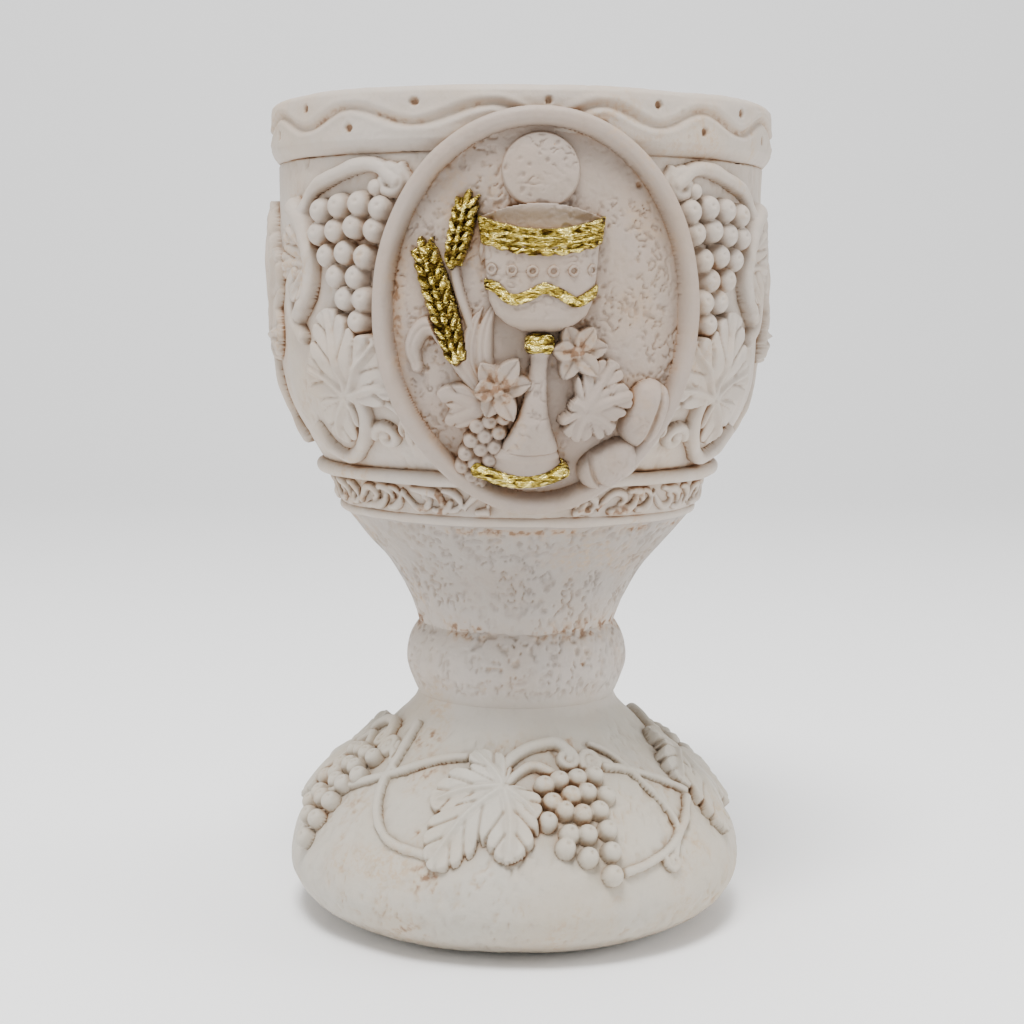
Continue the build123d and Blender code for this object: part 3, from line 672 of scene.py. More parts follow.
def build_turned():
    """Foot, ring, stem, cords, frieze band, bowl and rim."""
    foot = np.vstack([[(0.01, 0), (20, 0), (29.6, 0)], FOOT_LINE, [(12, 42.4), (0.01, 42.4)]])
    wall = hide_ends(pitted(0.3, 0.5, 0.37, 0.95, 3, 1.7, 0.32, 0.7, foot_marks), lambda r,
        z: (r > 17) * (z > 0.3) * step(z, 39, 36))
    turned_piece("foot_dome", foot, 0.62, 620, wall, FOOT_RESIN)
    knop = np.vstack([[(0.01, KNOP_BOTTOM), (14, KNOP_BOTTOM)],
                      smooth_line([(18.1, KNOP_BOTTOM), (18.75, 41.9), (19.55, 43.8), (20.55, 46.4),
                          (20.8, 48.6), (20.5, 51),
                                   (19.8, 53), (18.9, 54.5), (18.2, KNOP_TOP)]),
                      [(14, KNOP_TOP), (0.01, KNOP_TOP)]])
    turned_piece("knop_ring", knop, 0.4, 420, hide_ends(pitted(0.4, 0.5, 0.3, 0.8, 17, 1.35, 0.4, 0.75,
        neck_marks), lambda r, z: (r > 17) * step(z, 42, 44.5) * step(z, 55.6, 54.9)),
                 STEM_RESIN)
    neck = np.vstack([[(0.01, KNOP_TOP - 1.2), (14, KNOP_TOP - 1.2)], NECK_LINE,
        [(32.6, NECK_TOP + 0.5), (28, NECK_TOP + 0.6), (0.01, NECK_TOP + 0.6)]])
    turned_piece("stem_neck", neck, 0.4, 560, hide_ends(pitted(0.44, 0.5, 0.38, 0.7, 12, 1.3, 0.4, 0.75,
        neck_marks), lambda r, z: (r > 18) * step(z, 54.4, 55.4) * (z < 76)),
                 STEM_RESIN)
    smooth = pitted(0.05, 0.3, 0.6, 0.7, 21, 1.7, 0.25, 0.5)
    for name, r, low, high in (("lower_cord", 32.4, NECK_TOP, NECK_TOP + 2),
        ("upper_cord", 36.3, FRIEZE_TOP, BOWL_BOTTOM)):
        half = (high - low) / 2
        a = np.linspace(-pi / 2, pi / 2, 14)
        edge = np.stack([r + half * np.cos(a), (low + high) / 2 + half * np.sin(a)], -1)
        ring = np.vstack([[(r - 6, low)], edge, [(r - 6, high), (r - 6, low)]])
        turned_piece(name, ring, 0.28, 640, hide_ends(smooth, lambda rr, z, r=r: rr > r - 1), CUP_RESIN,
            True)
    band = np.vstack([[(28, NECK_TOP + 1.6)], [(33.1, NECK_TOP + 1.6)], FRIEZE_LINE,
        [(34.7, FRIEZE_TOP + 0.4), (28, FRIEZE_TOP + 0.4),
                      (28, NECK_TOP + 1.6)]])
    turned_piece("frieze_band", band, 0.35, 700, hide_ends(pitted(0.1, 0.3, 0.45, 0.9, 31), lambda r,
        z: r > 32),
                 CUP_RESIN, True)
    inner = smooth_line([(BORE_R, 118), (39.2, 107), (34, 98), (22, 92), (0.01, 90)])
    cup = np.vstack([[(27, BOWL_BOTTOM - 0.3), (35.6, BOWL_BOTTOM - 0.3)], BOWL_LINE,
        [(BOWL_R, BOWL_TOP + 0.2), (BORE_R, BOWL_TOP + 0.2)],
                     inner])
    cup = np.vstack([[(0.01, BOWL_BOTTOM - 0.3)], cup])
    turned_piece("bowl_shell", cup, 0.8, 620, hide_ends(pitted(0.26, 0.5, 0.45, 0.7, 41, 1.5, 0.3, 0.75),
                 lambda r, z: (r > 36) & (r > BORE_R * step(z, 95, 112))), CUP_RESIN)
    rim_line = [(BORE_R, BOWL_TOP), (43.6, BOWL_TOP), (44.4, 139.3), (45.3, 140.4), (45.8, 141.4),
                (RIM_R, 142.4), (RIM_R, 145),
                (RIM_R, 148), (RIM_R - 0.2, 149.1), (RIM_R - 0.8, 149.7), (RIM_R - 1.6, HEIGHT), (42.6,
                    HEIGHT), (41.4, 149.5),
                (40.8, 148.4), (BORE_R, 146), (BORE_R, BOWL_TOP)]
    turned_piece("rim_band", np.array(rim_line), 0.3, 960, rim_relief, CUP_RESIN, True)


FOOT_SPOTS = [(-31, 6, 5, 0.6), (-25, 16, 4.5, 0.7), (-41, 31, 5, 0.65), (-48, 36, 4, 0.7),
              (-8, 37.6, 4.5, 0.45), (48, 29, 5, 0.4),
              (22, 35.6, 1.6, 0.9), (-13, 34, 3, 0.6), (-58, 24, 5, 0.5), (36, 6, 4, 0.4), (130, 8, 6,
                  0.5), (-120, 20, 5, 0.5)]
CRESTS = [-43, -10, 13, 38, 64, 92, 120, 148, 176, 204, 232, 260, 289, 317]


def wave_phase(az):
    """Turns of the rim wave up to an azimuth, slightly uneven as if drawn by hand."""
    marks = np.array(CRESTS[1:-1] + [CRESTS[1] + 360])
    marks = np.concatenate([[-72, -43], marks])
    count = np.arange(len(marks))
    return np.interp((np.asarray(az) + 72) % 360 - 72, marks, count)


def rim_relief(p, az):
    """Wavy groove with a pit in each bend."""
    phase = wave_phase(az)
    middle, swing = 145.4, 1.45
    line = middle + swing * np.cos(2 * pi * phase)
    outer = np.hypot(p[..., 0], p[..., 1]) > RIM_R - 0.6
    off = (p[..., 2] - line) / (1 + 0.35 * np.abs(np.sin(2 * pi * phase)))
    groove = bell(off, 0.55) * outer
    lip = bell(np.abs(off) - 1.1, 0.45) * outer
    holes = np.zeros(az.shape)
    half = np.round(phase * 2)
    near = np.abs(phase * 2 - half) * 13.5 * 0.8
    side = np.where(half % 2 == 0, middle - 1.9, middle + 1.9)
    r = np.hypot(near, p[..., 2] - side)
    holes = step(0.85 - r, 0, 0.35) * outer
    soft, marks = pitted(0.08, 0.35, 0.55, 0.7, 51, 1.7, 0.3, 0.6)(p, az)
    h = soft * 0.8 - 0.75 * groove + 0.16 * lip - 0.7 * holes
    stain = np.maximum(marks, holes)
    stain = np.maximum(stain, groove * (0.22 + 0.45 * step(noise(p, 6, 77), 0.4, 0.7)))
    return h, stain


# ---- medallion ----
MEDAL_Z = 113.2
HALF_W, HALF_H, FRAME_W = 28.2, 33.3, 3.3


def oval_gap(patch, half_w, half_h):
    """Signed distance outside an upright oval on the medallion."""
    u = np.radians(patch.az) * 46.6
    v = patch.p[..., 2] - MEDAL_Z
    steep = 2 * np.sqrt((u / half_w**2) ** 2 + (v / half_h**2) ** 2) + 1e-9
    return ((u / half_w) ** 2 + (v / half_h) ** 2 - 1) / steep


def line_gap(x, z, points):
    """Distance to a smooth line in front view, and how far along it."""
    line = smooth_line(points, 8)
    best = np.full(x.shape, 1e9)
    where = np.zeros(x.shape)
    count = len(line) - 1
    for n, (a, b) in enumerate(zip(line[:-1], line[1:])):
        ab = b - a
        t = np.clip(((x - a[0]) * ab[0] + (z - a[1]) * ab[1]) / max(ab @ ab, 1e-9), 0, 1)
        d = np.hypot(x - a[0] - t * ab[0], z - a[1] - t * ab[1])
        near = d < best
        best = np.where(near, d, best)
        where = np.where(near, (n + t) / count, where)
    return best, where


def grain(x, z, cx, cz, lean, size, wide, tall):
    """One plump grain with a crease."""
    t = radians(lean)
    a = -(x - cx) * sin(t) + (z - cz) * cos(t)
    b = (x - cx) * cos(t) + (z - cz) * sin(t)
    k = 1 - (a / (size / 2)) ** 2 - (b / (wide / 2 * (1 - 0.35 * a / size))) ** 2
    return np.where(k > 0, 0.35 + tall * root(k) - 0.18 * bell(b, 0.14), k * 2)


def wheat_ear(x, z, base, tip, width, rows):
    """Ear of grain: slanting grains in a herringbone, fullest below the middle."""
    (x0, z0), (x1, z1) = base, tip
    lean = degrees(atan2(x0 - x1, z1 - z0))
    t = radians(lean)
    pitch = np.hypot(x1 - x0, z1 - z0) / rows
    h = np.full(x.shape, -9.0)
    for i in range(rows):
        full = sin(pi * min(1.0, (i + 1.0) / (rows + 1.4)) ** 1.25) ** 0.6
        full = 0.5 + 0.5 * full
        for side in (-1, 1):
            along = (i + 0.5 + 0.25 * side) * pitch
            off = side * width * 0.27 * full
            cx = x0 - along * sin(t) + off * cos(t)
            cz = z0 + along * cos(t) + off * sin(t)
            h = np.maximum(h, grain(x, z, cx, cz, lean - side * 26, 3.3, 1.15 * full, 2.0))
        along = (i + 0.2) * pitch
        h = np.maximum(h, grain(x, z, x0 - along * sin(t), z0 + along * cos(t), lean, 2.6, 1.0, 2.3))
    a = (-(x - x0) * sin(t) + (z - z0) * cos(t)) / (pitch * rows)
    b = (x - x0) * cos(t) + (z - z0) * sin(t)
    full = 0.5 + 0.5 * np.sin(pi * np.clip((a * rows + 0.5) / (rows + 1.4), 0, 1) ** 1.25) ** 0.6
    k = 1 - (b / (0.46 * width * full)) ** 2
    spine = np.where((k > 0) & (a > -0.02) & (a < 1), 0.15 + 0.75 * root(k), -1)
    return top(h, spine, grain(x, z, x1, z1, lean, 3.2, 1.5, 1.5))


def cup_half_width(z):
    """Half width of the little cup's bowl by height."""
    return np.interp(z, [109.8, 110.3, 111.4, 113, 115.2, 119, 124, 128.6, 131],
        [0.5, 3.2, 5.6, 7.4, 8.4, 8.9, 9.3, 9.9, 10])


def cushion(x, z, half):
    """Rounded front of a relief whose half width is given."""
    k = np.clip(1 - (x / np.maximum(half, 0.1)) ** 2, 0, 1)
    return 0.9 + 2.9 * np.sqrt(k)


def build_medallion():
    """Ground, frame, and the whole scene inside."""
    patch = Patch(FIELD, -39, 39, 77.6, 148.2, 0.2)
    x, z = patch.p[..., 0], patch.p[..., 2]
    mid = oval_gap(patch, HALF_W - FRAME_W / 2, HALF_H - FRAME_W / 2)
    put = dict(material=MEDAL_RESIN, slot="medallion_resin")

    coarse = Patch(FIELD, -37, 37, 79, 147.4, 0.25)
    soft, marks = pitted(0.34, 0.45, 0.4, 0.8, 61, 1.05, 0.4, 0.7)(coarse.p, coarse.az)
    ring = oval_gap(coarse, HALF_W - FRAME_W / 2, HALF_H - FRAME_W / 2)
    cx, cz = coarse.p[..., 0], coarse.p[..., 2]
    edge_wash = bell(ring + 2.2, 1.6) * step(-cx, 12, 22) * step(noise(coarse.p, 3.2, 5), 0.3, 0.55)
    edge_wash *= bell(cz - 114, 11) * 0.8
    right_wash = step(noise(coarse.p, 7, 15), 0.52, 0.72) * step(cx, 4, 14) * 0.3
    coarse.piece("medallion_ground", soft, nodes=[["medallion_ground"]],
        stain=np.maximum(np.maximum(marks, edge_wash), right_wash),
                 keep=ring < 0.4, floor=-1.6, sunk=-9, **put)

    base_gap = np.interp(z, OUTSIDE.z, OUTSIDE.r) - np.hypot(x, patch.p[..., 1])
    d = np.abs(mid) / (FRAME_W / 2)
    crest = 2.5 * root(1 - d**3) + 0.1
    crest = crest + (noise(patch.p, 3.5, 66) - 0.5) * 0.3
    h = np.where(mid < 0, np.where(d < 1, crest, 0.1 - (d - 1) * 6),
        np.where(d < 1, crest, 0.1 - (d - 1) * 11))
    lowest = np.minimum(base_gap, 0) - 0.9
    frame_h = np.where(mid > 0, np.maximum(h, lowest), h)
    shown = (mid > -FRAME_W) & (h > np.where(mid > 0, lowest - 0.8, -0.35))
    frame_piece(patch, frame_h, shown, lowest, mid)

    host = np.hypot(x, z - 136.1)
    disc = np.where(host < 6.45, 1.15 * step(6.45 - host, 0, 0.55) + 0.1, (6.45 - host) * 4)
    disc = disc + 0.5 * step(6.45 - host, 0, 4) - 0.28 * worms(patch.p, 1.2, 71, 0.42) * (host < 5.8)
    patch.piece("host_disc", disc, nodes=[["host_disc"]], **put)

    # the cup's bowl, with its open mouth
    half = cup_half_width(z)
    inside = half - np.abs(x - 0.2)
    back_rim = 130.9 - 2.3 * ((x - 0.2) / 9.9) ** 2
    front_rim = 126.3 + 2.2 * ((x - 0.2) / 9.9) ** 2
    body = cushion(x - 0.2, z, half) * step(z, 109.6, 112.5) ** 0.5
    body = np.where(z > front_rim, np.minimum(body, 1.0 + 0.8 * step(z, 128, 130.6)), body)
    body = np.where((inside > 0) & (z < back_rim) & (z > 109.9), body * step(inside, 0, 0.35) + 0.1,
                    -4 * np.maximum(np.maximum(-inside, z - back_rim), 109.9 - z))
    body = np.maximum(body, -1)
    dabs = worms(patch.p, 1.1, 72, 0.45)
    body = np.where(body > 0, body - 0.2 * dabs, body)
    patch.piece("relief_cup_bowl", body, nodes=[["relief_cup_bowl"]], **put)

    # gilding on the cup: crinkled rim band with a scalloped lower edge
    crinkle = (noise(patch.p * np.array((0.35, 0.35, 1.6)), 0.9, 81) - 0.5) * 0.5 + (noise(patch.p, 0.8,
        82) - 0.5) * 0.4
    scallop = 122.3 + 2.3 * ((x - 0.2) / 9.9) ** 2 - 0.35 * np.abs(np.sin((x + 0.4) * 1.3))
    band = np.minimum(np.minimum(z - scallop, front_rim + 0.5 - z), inside + 0.35)
    rim_h = cushion(x - 0.2, z, half + 0.3) + 0.42 + crinkle * 0.5 + 0.24 * np.cos((z - front_rim) * 5.6)
    patch.piece("gilt_rim_band", np.where(band > 0, rim_h * step(band, -0.1, 0.25), band * 8), GOLD,
                "gold_leaf", [["gilt_rim_band"]])
    d, _ = line_gap(x, z, [(-8.9, 117.9), (-7, 117.4), (-4.7, 115.5), (-2.2, 115.9), (0.3, 117.2),
        (2.8, 116.4), (5.2, 115.1),
                           (7.4, 116), (8.9, 117)])
    wave = np.minimum(0.95 - d, inside + 0.3)
    wave_h = cushion(x - 0.2, z, half + 0.3) + 0.55 * np.sqrt(np.clip(1 - (d / 0.95) ** 2, 0,
        1)) + 0.1 + crinkle * 0.35
    patch.piece("gilt_wave_band", np.where(wave > 0, wave_h, wave * 9), GOLD, "gold_leaf",
                [["gilt_wave_band"]])

    studs = np.full(x.shape, -9.0)
    ring_mark = np.zeros(x.shape)
    for i in range(6):
        d = np.hypot((x - 3.1 * (i - 2.5) - 0.2) / (1 - 0.04 * abs(i - 2.5)),
            z - 119.9 - 0.05 * (i - 2.5) ** 2)
        own = cushion(x - 0.2, z, half) + 0.5 * bell(d - 0.66, 0.24) - 0.5 * bell(d, 0.34)
        studs = np.maximum(studs, np.where(d < 1.1, own + 0.03, -9))
        ring_mark = np.maximum(ring_mark, 0.75 * bell(d - 0.3, 0.2) + 0.6 * step(d, 0.85, 1.05) * (d < 1.2))
    patch.piece("cup_studs", studs, nodes=[["cup_studs"]], floor=0.0, stain=ring_mark * 0.8, **put)

    # knop, stem, foot and hem of the little cup
    k = 1 - np.abs(x / 2.5) ** 3 - np.abs((z - 108.3) / 1.9) ** 3
    knop = np.where(k > 0, 1.1 + 2.1 * root(k) + crinkle * 0.5, k * 3)
    patch.piece("gilt_knop", knop, GOLD, "gold_leaf", [["gilt_knop"]])
    stem_half = np.interp(z, [91.4, 92.6, 94.5, 97, 100, 104, 106, 107.5],
        [4.7, 4.3, 3.4, 2.5, 1.9, 1.5, 1.5, 2.1])
    mid_x = np.interp(z, [91, 98, 107], [-1.3, -0.7, 0.1])
    k = 1 - ((x - mid_x) / stem_half) ** 2
    stem = np.where((k > 0) & (z > 91.2) & (z < 108), 0.8 + np.minimum(stem_half, 2.9) * root(k),
        np.minimum(k * 3, -0.5))
    stem = np.where(stem > 0, stem - 0.25 * dabs, stem)
    patch.piece("relief_cup_stem", stem, nodes=[["relief_cup_stem"]], **put)
    foot_half = np.interp(z, [84.6, 86.2, 88.2, 89.4, 90.2, 91.8], [7.4, 7.0, 6.3, 5.4, 5.4, 4.7])
    low_edge = 85.4 + 1.4 * ((x + 1.9) / 7) ** 2
    k = 1 - ((x + 1.7) / foot_half) ** 2
    foot = 0.5 + 2.7 * root(k) + 0.35 * step(np.abs(z - 90.6), 0.9, 0.3)
    foot = np.where((k > 0) & (z < 91.7) & (z > low_edge), foot, -1)
    patch.piece("relief_cup_foot", foot, nodes=[["relief_cup_foot"]], **put)
    d, _ = line_gap(x, z, [(-9.4, 88.2), (-8.0, 87.7), (-5.2, 87.0), (-2.2, 86.7), (1.2, 87.0),
        (4.2, 88.0)])
    hem = np.where(d < 1.15, 3.0 + 0.7 * np.sqrt(np.clip(1 - (d / 1.15) ** 2, 0,
        1)) - 0.014 * (x + 2.2) ** 2 + crinkle * 0.5, (1.15 - d) * 8)
    patch.piece("gilt_foot_band", hem, GOLD, "gold_leaf", [["gilt_foot_band"]])

    # wheat, reed and blades
    jag = (noise(patch.p, 0.6, 91) - 0.5) * 0.25
    upper = wheat_ear(x, z, (-13.8, 121.0), (-11.6, 131.6), 4.6, 6) + jag
    lower = wheat_ear(x, z, (-12.9, 105.6), (-18.7, 124.0), 5.4, 9) + jag
    lower = lower + 0.9 * step(z, 114, 106) * (lower > 0)
    ears = np.maximum(upper, lower)
    patch.piece("wheat_ear_upper", upper, GOLD, "gold_leaf", [["wheat_ear_upper"]])
    patch.piece("wheat_ear_lower", lower, GOLD, "gold_leaf", [["wheat_ear_lower"]])
    stalks = np.full(x.shape, -9.0)
    for line in ([(-13.9, 121.8), (-13, 117), (-11, 111), (-9, 104)],
        [(-13.6, 111), (-13, 107), (-10.5, 101), (-8, 98)]):
        d, _ = line_gap(x, z, line)
        stalks = np.maximum(stalks, dome(d, 0.75, 0.45))
    stalks = np.where(ears > 0, np.minimum(stalks, ears - 0.6), stalks)
    patch.piece("wheat_stalks", stalks, nodes=[["wheat_stalks"]], **put)
    reed = np.full(x.shape, -9.0)
    for line, wide in (([(-19.6, 104.2), (-20.2, 107.6), (-18.4, 110.8), (-15.6, 110.3), (-12.6, 106.4),
        (-9.6, 101)], 1.35),
                       ([(-17.2, 110.6), (-14.2, 107.4), (-11.4, 103.2), (-8.6, 99)], 1.2)):
        d, t = line_gap(x, z, line)
        w = wide * (0.45 + 0.75 * np.sin(pi * np.clip(t, 0.05, 1)) ** 0.6)
        reed = np.maximum(reed, dome(d, w, 0.3) - 0.3 * bell(d, 0.3))
    reed = np.where(ears > 0, np.minimum(reed, ears - 0.6), reed)
    patch.piece("curled_reed", reed, nodes=[["curled_reed"]], **put)
    blades = np.full(x.shape, -9.0)
    for line, wide in (([(-7.2, 101), (-8.8, 106), (-8.5, 111), (-6.4, 116.5)], 1.5),
        ([(-9, 100), (-11.2, 106), (-10.6, 111), (-9.2, 114)], 1.3),
                       ([(-9.4, 121.6), (-8.4, 124.4), (-8.7, 126.8)], 1.2)):
        d, t = line_gap(x, z, line)
        w = wide * np.clip(np.sin(pi * np.clip(t, 0.02, 1) ** 0.75), 0.15, 1)
        blades = np.maximum(blades, dome(d, w, 0.35) - 0.35 * bell(d, 0.25))
    blades = np.where(ears > 0, np.minimum(blades, ears - 0.6), blades)
    patch.piece("blade_leaves", blades, nodes=[["blade_leaves"]], **put)

    # flowers, grapes, leaves and loaves
    lily = petals(patch, (-8.3, 101), [(-1.2, 102.2), (-4, 106), (-11.6, 105.4), (-13, 100.6),
        (-10.6, 96.4), (-4.8, 96)], 2.0, 2.4)
    lily = top(lily, patch.ball(-8.3, 101, 0.95, 2.3, 0.5))
    patch.piece("lily_left", lily, nodes=[["lily_left"]],
                stain=clusters(patch.p, [(-8.3, 101, 3.4, 1.0)], FIELD), **put)
    lily = petals(patch, (7.4, 107), [(5.0, 111.6), (10.8, 111.2), (14.0, 108), (11.8, 103), (4.6, 102.4),
        (2.2, 107.4)], 1.95, 1.9)
    lily = top(lily, patch.ball(7.4, 107, 0.9, 1.8, 0.5))
    patch.piece("lily_right", lily, nodes=[["lily_right"]],
                stain=clusters(patch.p, [(7.4, 107, 3.2, 1.0)], FIELD), **put)
    fronds, _ = leaf(patch, (-10.5, 97.5), [(-20.6, 100.4, 2.5), (-19.4, 95.4, 2.3)], 2.0, 0.05, 0.2, 2,
        4.5)
    patch.piece("lily_leaves", fronds, nodes=[["lily_leaves"]], **put)
    berries = [(-7.0, 96.4), (-9.9, 95.8), (-12.6, 95), (-8, 94), (-11, 93.4), (-14, 92.6), (-9, 91.6),
               (-12, 91.2), (-15.4, 90.4),
               (-10.2, 89.4), (-13.4, 88.8), (-16.6, 88.2), (-11.8, 87.2), (-14.8, 86.6), (-13.2, 85.2)]
    grapes = top(*[patch.ball(a, b, 1.25, 1.2, 0.5) for a, b in berries])
    patch.piece("relief_grapes", grapes, nodes=[["relief_grapes"]], **put)
    ruffled, _ = leaf(patch, (9.5, 97.6), [(15.6, 105.6, 3.6), (19.2, 100.4, 3.4), (15.8, 94.4, 3.2),
        (7.6, 92.8, 2.9), (6.6, 99.4, 2.4)],
                      2.6, 0.2, 0.4, 7, 3.4)
    patch.piece("relief_vine_leaf", ruffled, nodes=[["relief_vine_leaf"]], **put)
    for name, at, lean, size, wide, tall in (("loaf_upper", (17.7, 96.9), -20, 11.6, 7.0, 3.1),
        ("loaf_lower", (12.0, 88.5), -60, 10.8, 6.8, 3.2)):
        t = radians(lean)
        a = -(x - at[0]) * sin(t) + (z - at[1]) * cos(t)
        b = (x - at[0]) * cos(t) + (z - at[1]) * sin(t)
        k = 1 - np.abs(a / (size / 2)) ** 2.8 - np.abs(b / (wide / 2)) ** 2.2
        loaf = np.where(k > 0, 0.5 + tall * root(k), k * 4)
        seam_line = b - 0.9 if name == "loaf_upper" else a + size * 0.28 - 0.1 * b * b
        split = bell(seam_line, 0.4)
        loaf = loaf - 0.9 * split * (k > 0) - 0.15 * dabs * (k > 0.1)
        patch.piece(name, loaf, nodes=[[name]], stain=0.5 * split * step(noise(patch.p, 2, 88), 0.3, 0.6),
            **put)


def frame_piece(patch, h, shown, lowest, mid):
    """The oval frame, whose outer side runs down to the cup's wall."""
    points, all_faces, used = patch.closed(h, np.minimum(np.minimum(h - 0.25, -0.6), lowest - 0.1), shown)
    edge = bell(mid + 2.0, 0.7) * step(noise(patch.p, 4, 9), 0.45, 0.65) * 0.7
    marks = np.concatenate([edge.ravel()] * 2)[used]
    add_piece("medallion_frame", points, all_faces, marks, MEDAL_RESIN,
              ["medallion_frame"])


# ---- vine relief ----
PANELS = ((-44, False), (44, True), (136, False), (-136, True))


def outside_frame(patch, az, flip):
    """Where a bowl panel stays clear of the medallion."""
    turned = -patch.az if flip else patch.az
    u = np.radians(turned + az) * 46.6
    return (u / (HALF_W - 0.8)) ** 2 + ((patch.p[..., 2] - MEDAL_Z) / (HALF_H - 0.8)) ** 2 > 1


def build_bowl_relief():
    """Vine, grapes and leaves on the bowl, in four mirrored panels."""
    patch = Patch(BOWL, -26, 22, 86.6, 139, 0.24)
    berries = [(-8.5, 130), (-2.4, 130.7), (3.6, 131), (9.2, 130.2), (-9.2, 126.2), (-3.4, 126.6),
               (2.2, 127.2), (7.8, 126.6),
               (-6, 122.4), (-0.4, 122.9), (5.2, 122.2), (-3, 118.9), (2.9, 118.8), (-0.2, 115.2), (4.8,
                   115.1), (3.6, 111.4)]
    grapes = top(*[patch.ball(a, b, 2.15, 0.85, 0.4) for a, b in berries])
    grapes = top(grapes, patch.ball(8, 133.6, 1.5, 0.8))
    vine = top(
        patch.rope([(-17, 126), (-16, 130.4), (-11, 134.2), (-3.6, 136), (3, 137.4), (8.6, 137),
            (13, 134.6)], 1.25, 0.7),
        patch.rope([(-20.5, 131), (-15, 126.6), (-12.6, 121), (-14, 116), (-18.4, 112.6)], 1.9, 0.9, 0.2),
        patch.rope([(-19, 120), (-22, 117), (-21.5, 112), (-17, 108.6)], 1.4, 0.6),
        patch.curl(11, 134.4, 3.0, 1.1, 90, 1.0, -1, 0.6),
        patch.rope([(1.5, 99.2), (1.8, 95), (-2.6, 90.4), (-9.6, 88), (-16.5, 89.4), (-20, 92.6)], 1.25,
            0.6),
        patch.curl(6.6, 92.2, 2.6, 1.2, 180, 0.9, -1, 0.5),
        patch.rope([(1, 98.2), (6, 98.9), (11, 97.4), (15, 94.4)], 1.1, 0.5, 0.3),
        patch.rope([(14, 137), (16.5, 133.4), (15.6, 129)], 0.9, 0.4, 0.4),
    )
    blade, _ = leaf(patch, (-1.2, 99), [(-6.4, 113.6, 5.2), (9.4, 108.4, 4.8), (12.8, 101, 3.2),
        (-12.6, 103.6, 4.8), (-8.6, 91.4, 4.0)],
                    2.4, 0.16, 0.7, 3, 4.8)
    small, _ = leaf(patch, (-13, 121), [(-21, 127.6, 3.9), (-24.4, 120.6, 4.0), (-20.4, 115, 3.4)], 2.4,
        0.14, 0.6, 5, 3.6)
    corner, _ = leaf(patch, (13, 96), [(17.4, 103.4, 2.9), (20, 97, 2.8), (17, 91, 2.9)], 1.8, 0.14, 0.5,
        6, 3.2)
    blade = top(blade, small, corner)
    for n, (az, flip) in enumerate(PANELS):
        clear = outside_frame(patch, az, flip) if abs(az) < 90 else None
        for name, h in (("bowl_vine", vine), ("bowl_grapes", grapes), ("bowl_leaf", blade)):
            full = f"{name}_{n + 1}"
            patch.piece(full, h, CUP_RESIN, "cup_resin", [[full]], ((az, flip),), keep=clear)
    side = Patch(BOWL, -20, 20, 88, 137, 0.26)
    big, _ = leaf(side, (0, 108), [(0, 133, 5.0), (12, 124, 4.8), (-12, 124, 4.8), (13, 109, 5.0),
        (-13, 109, 5.0)], 1.9, 0.06, 0.8, 8, 7.0)
    stalk = side.rope([(0, 108), (2, 101), (-2, 95), (3, 90)], 1.2, 0.5)
    for n, az in enumerate((-90, 90, 180)):
        side.piece(f"side_leaf_{n + 1}", top(big, stalk), CUP_RESIN, "cup_resin",
            [[f"side_leaf_{n + 1}"]], ((az, False),))


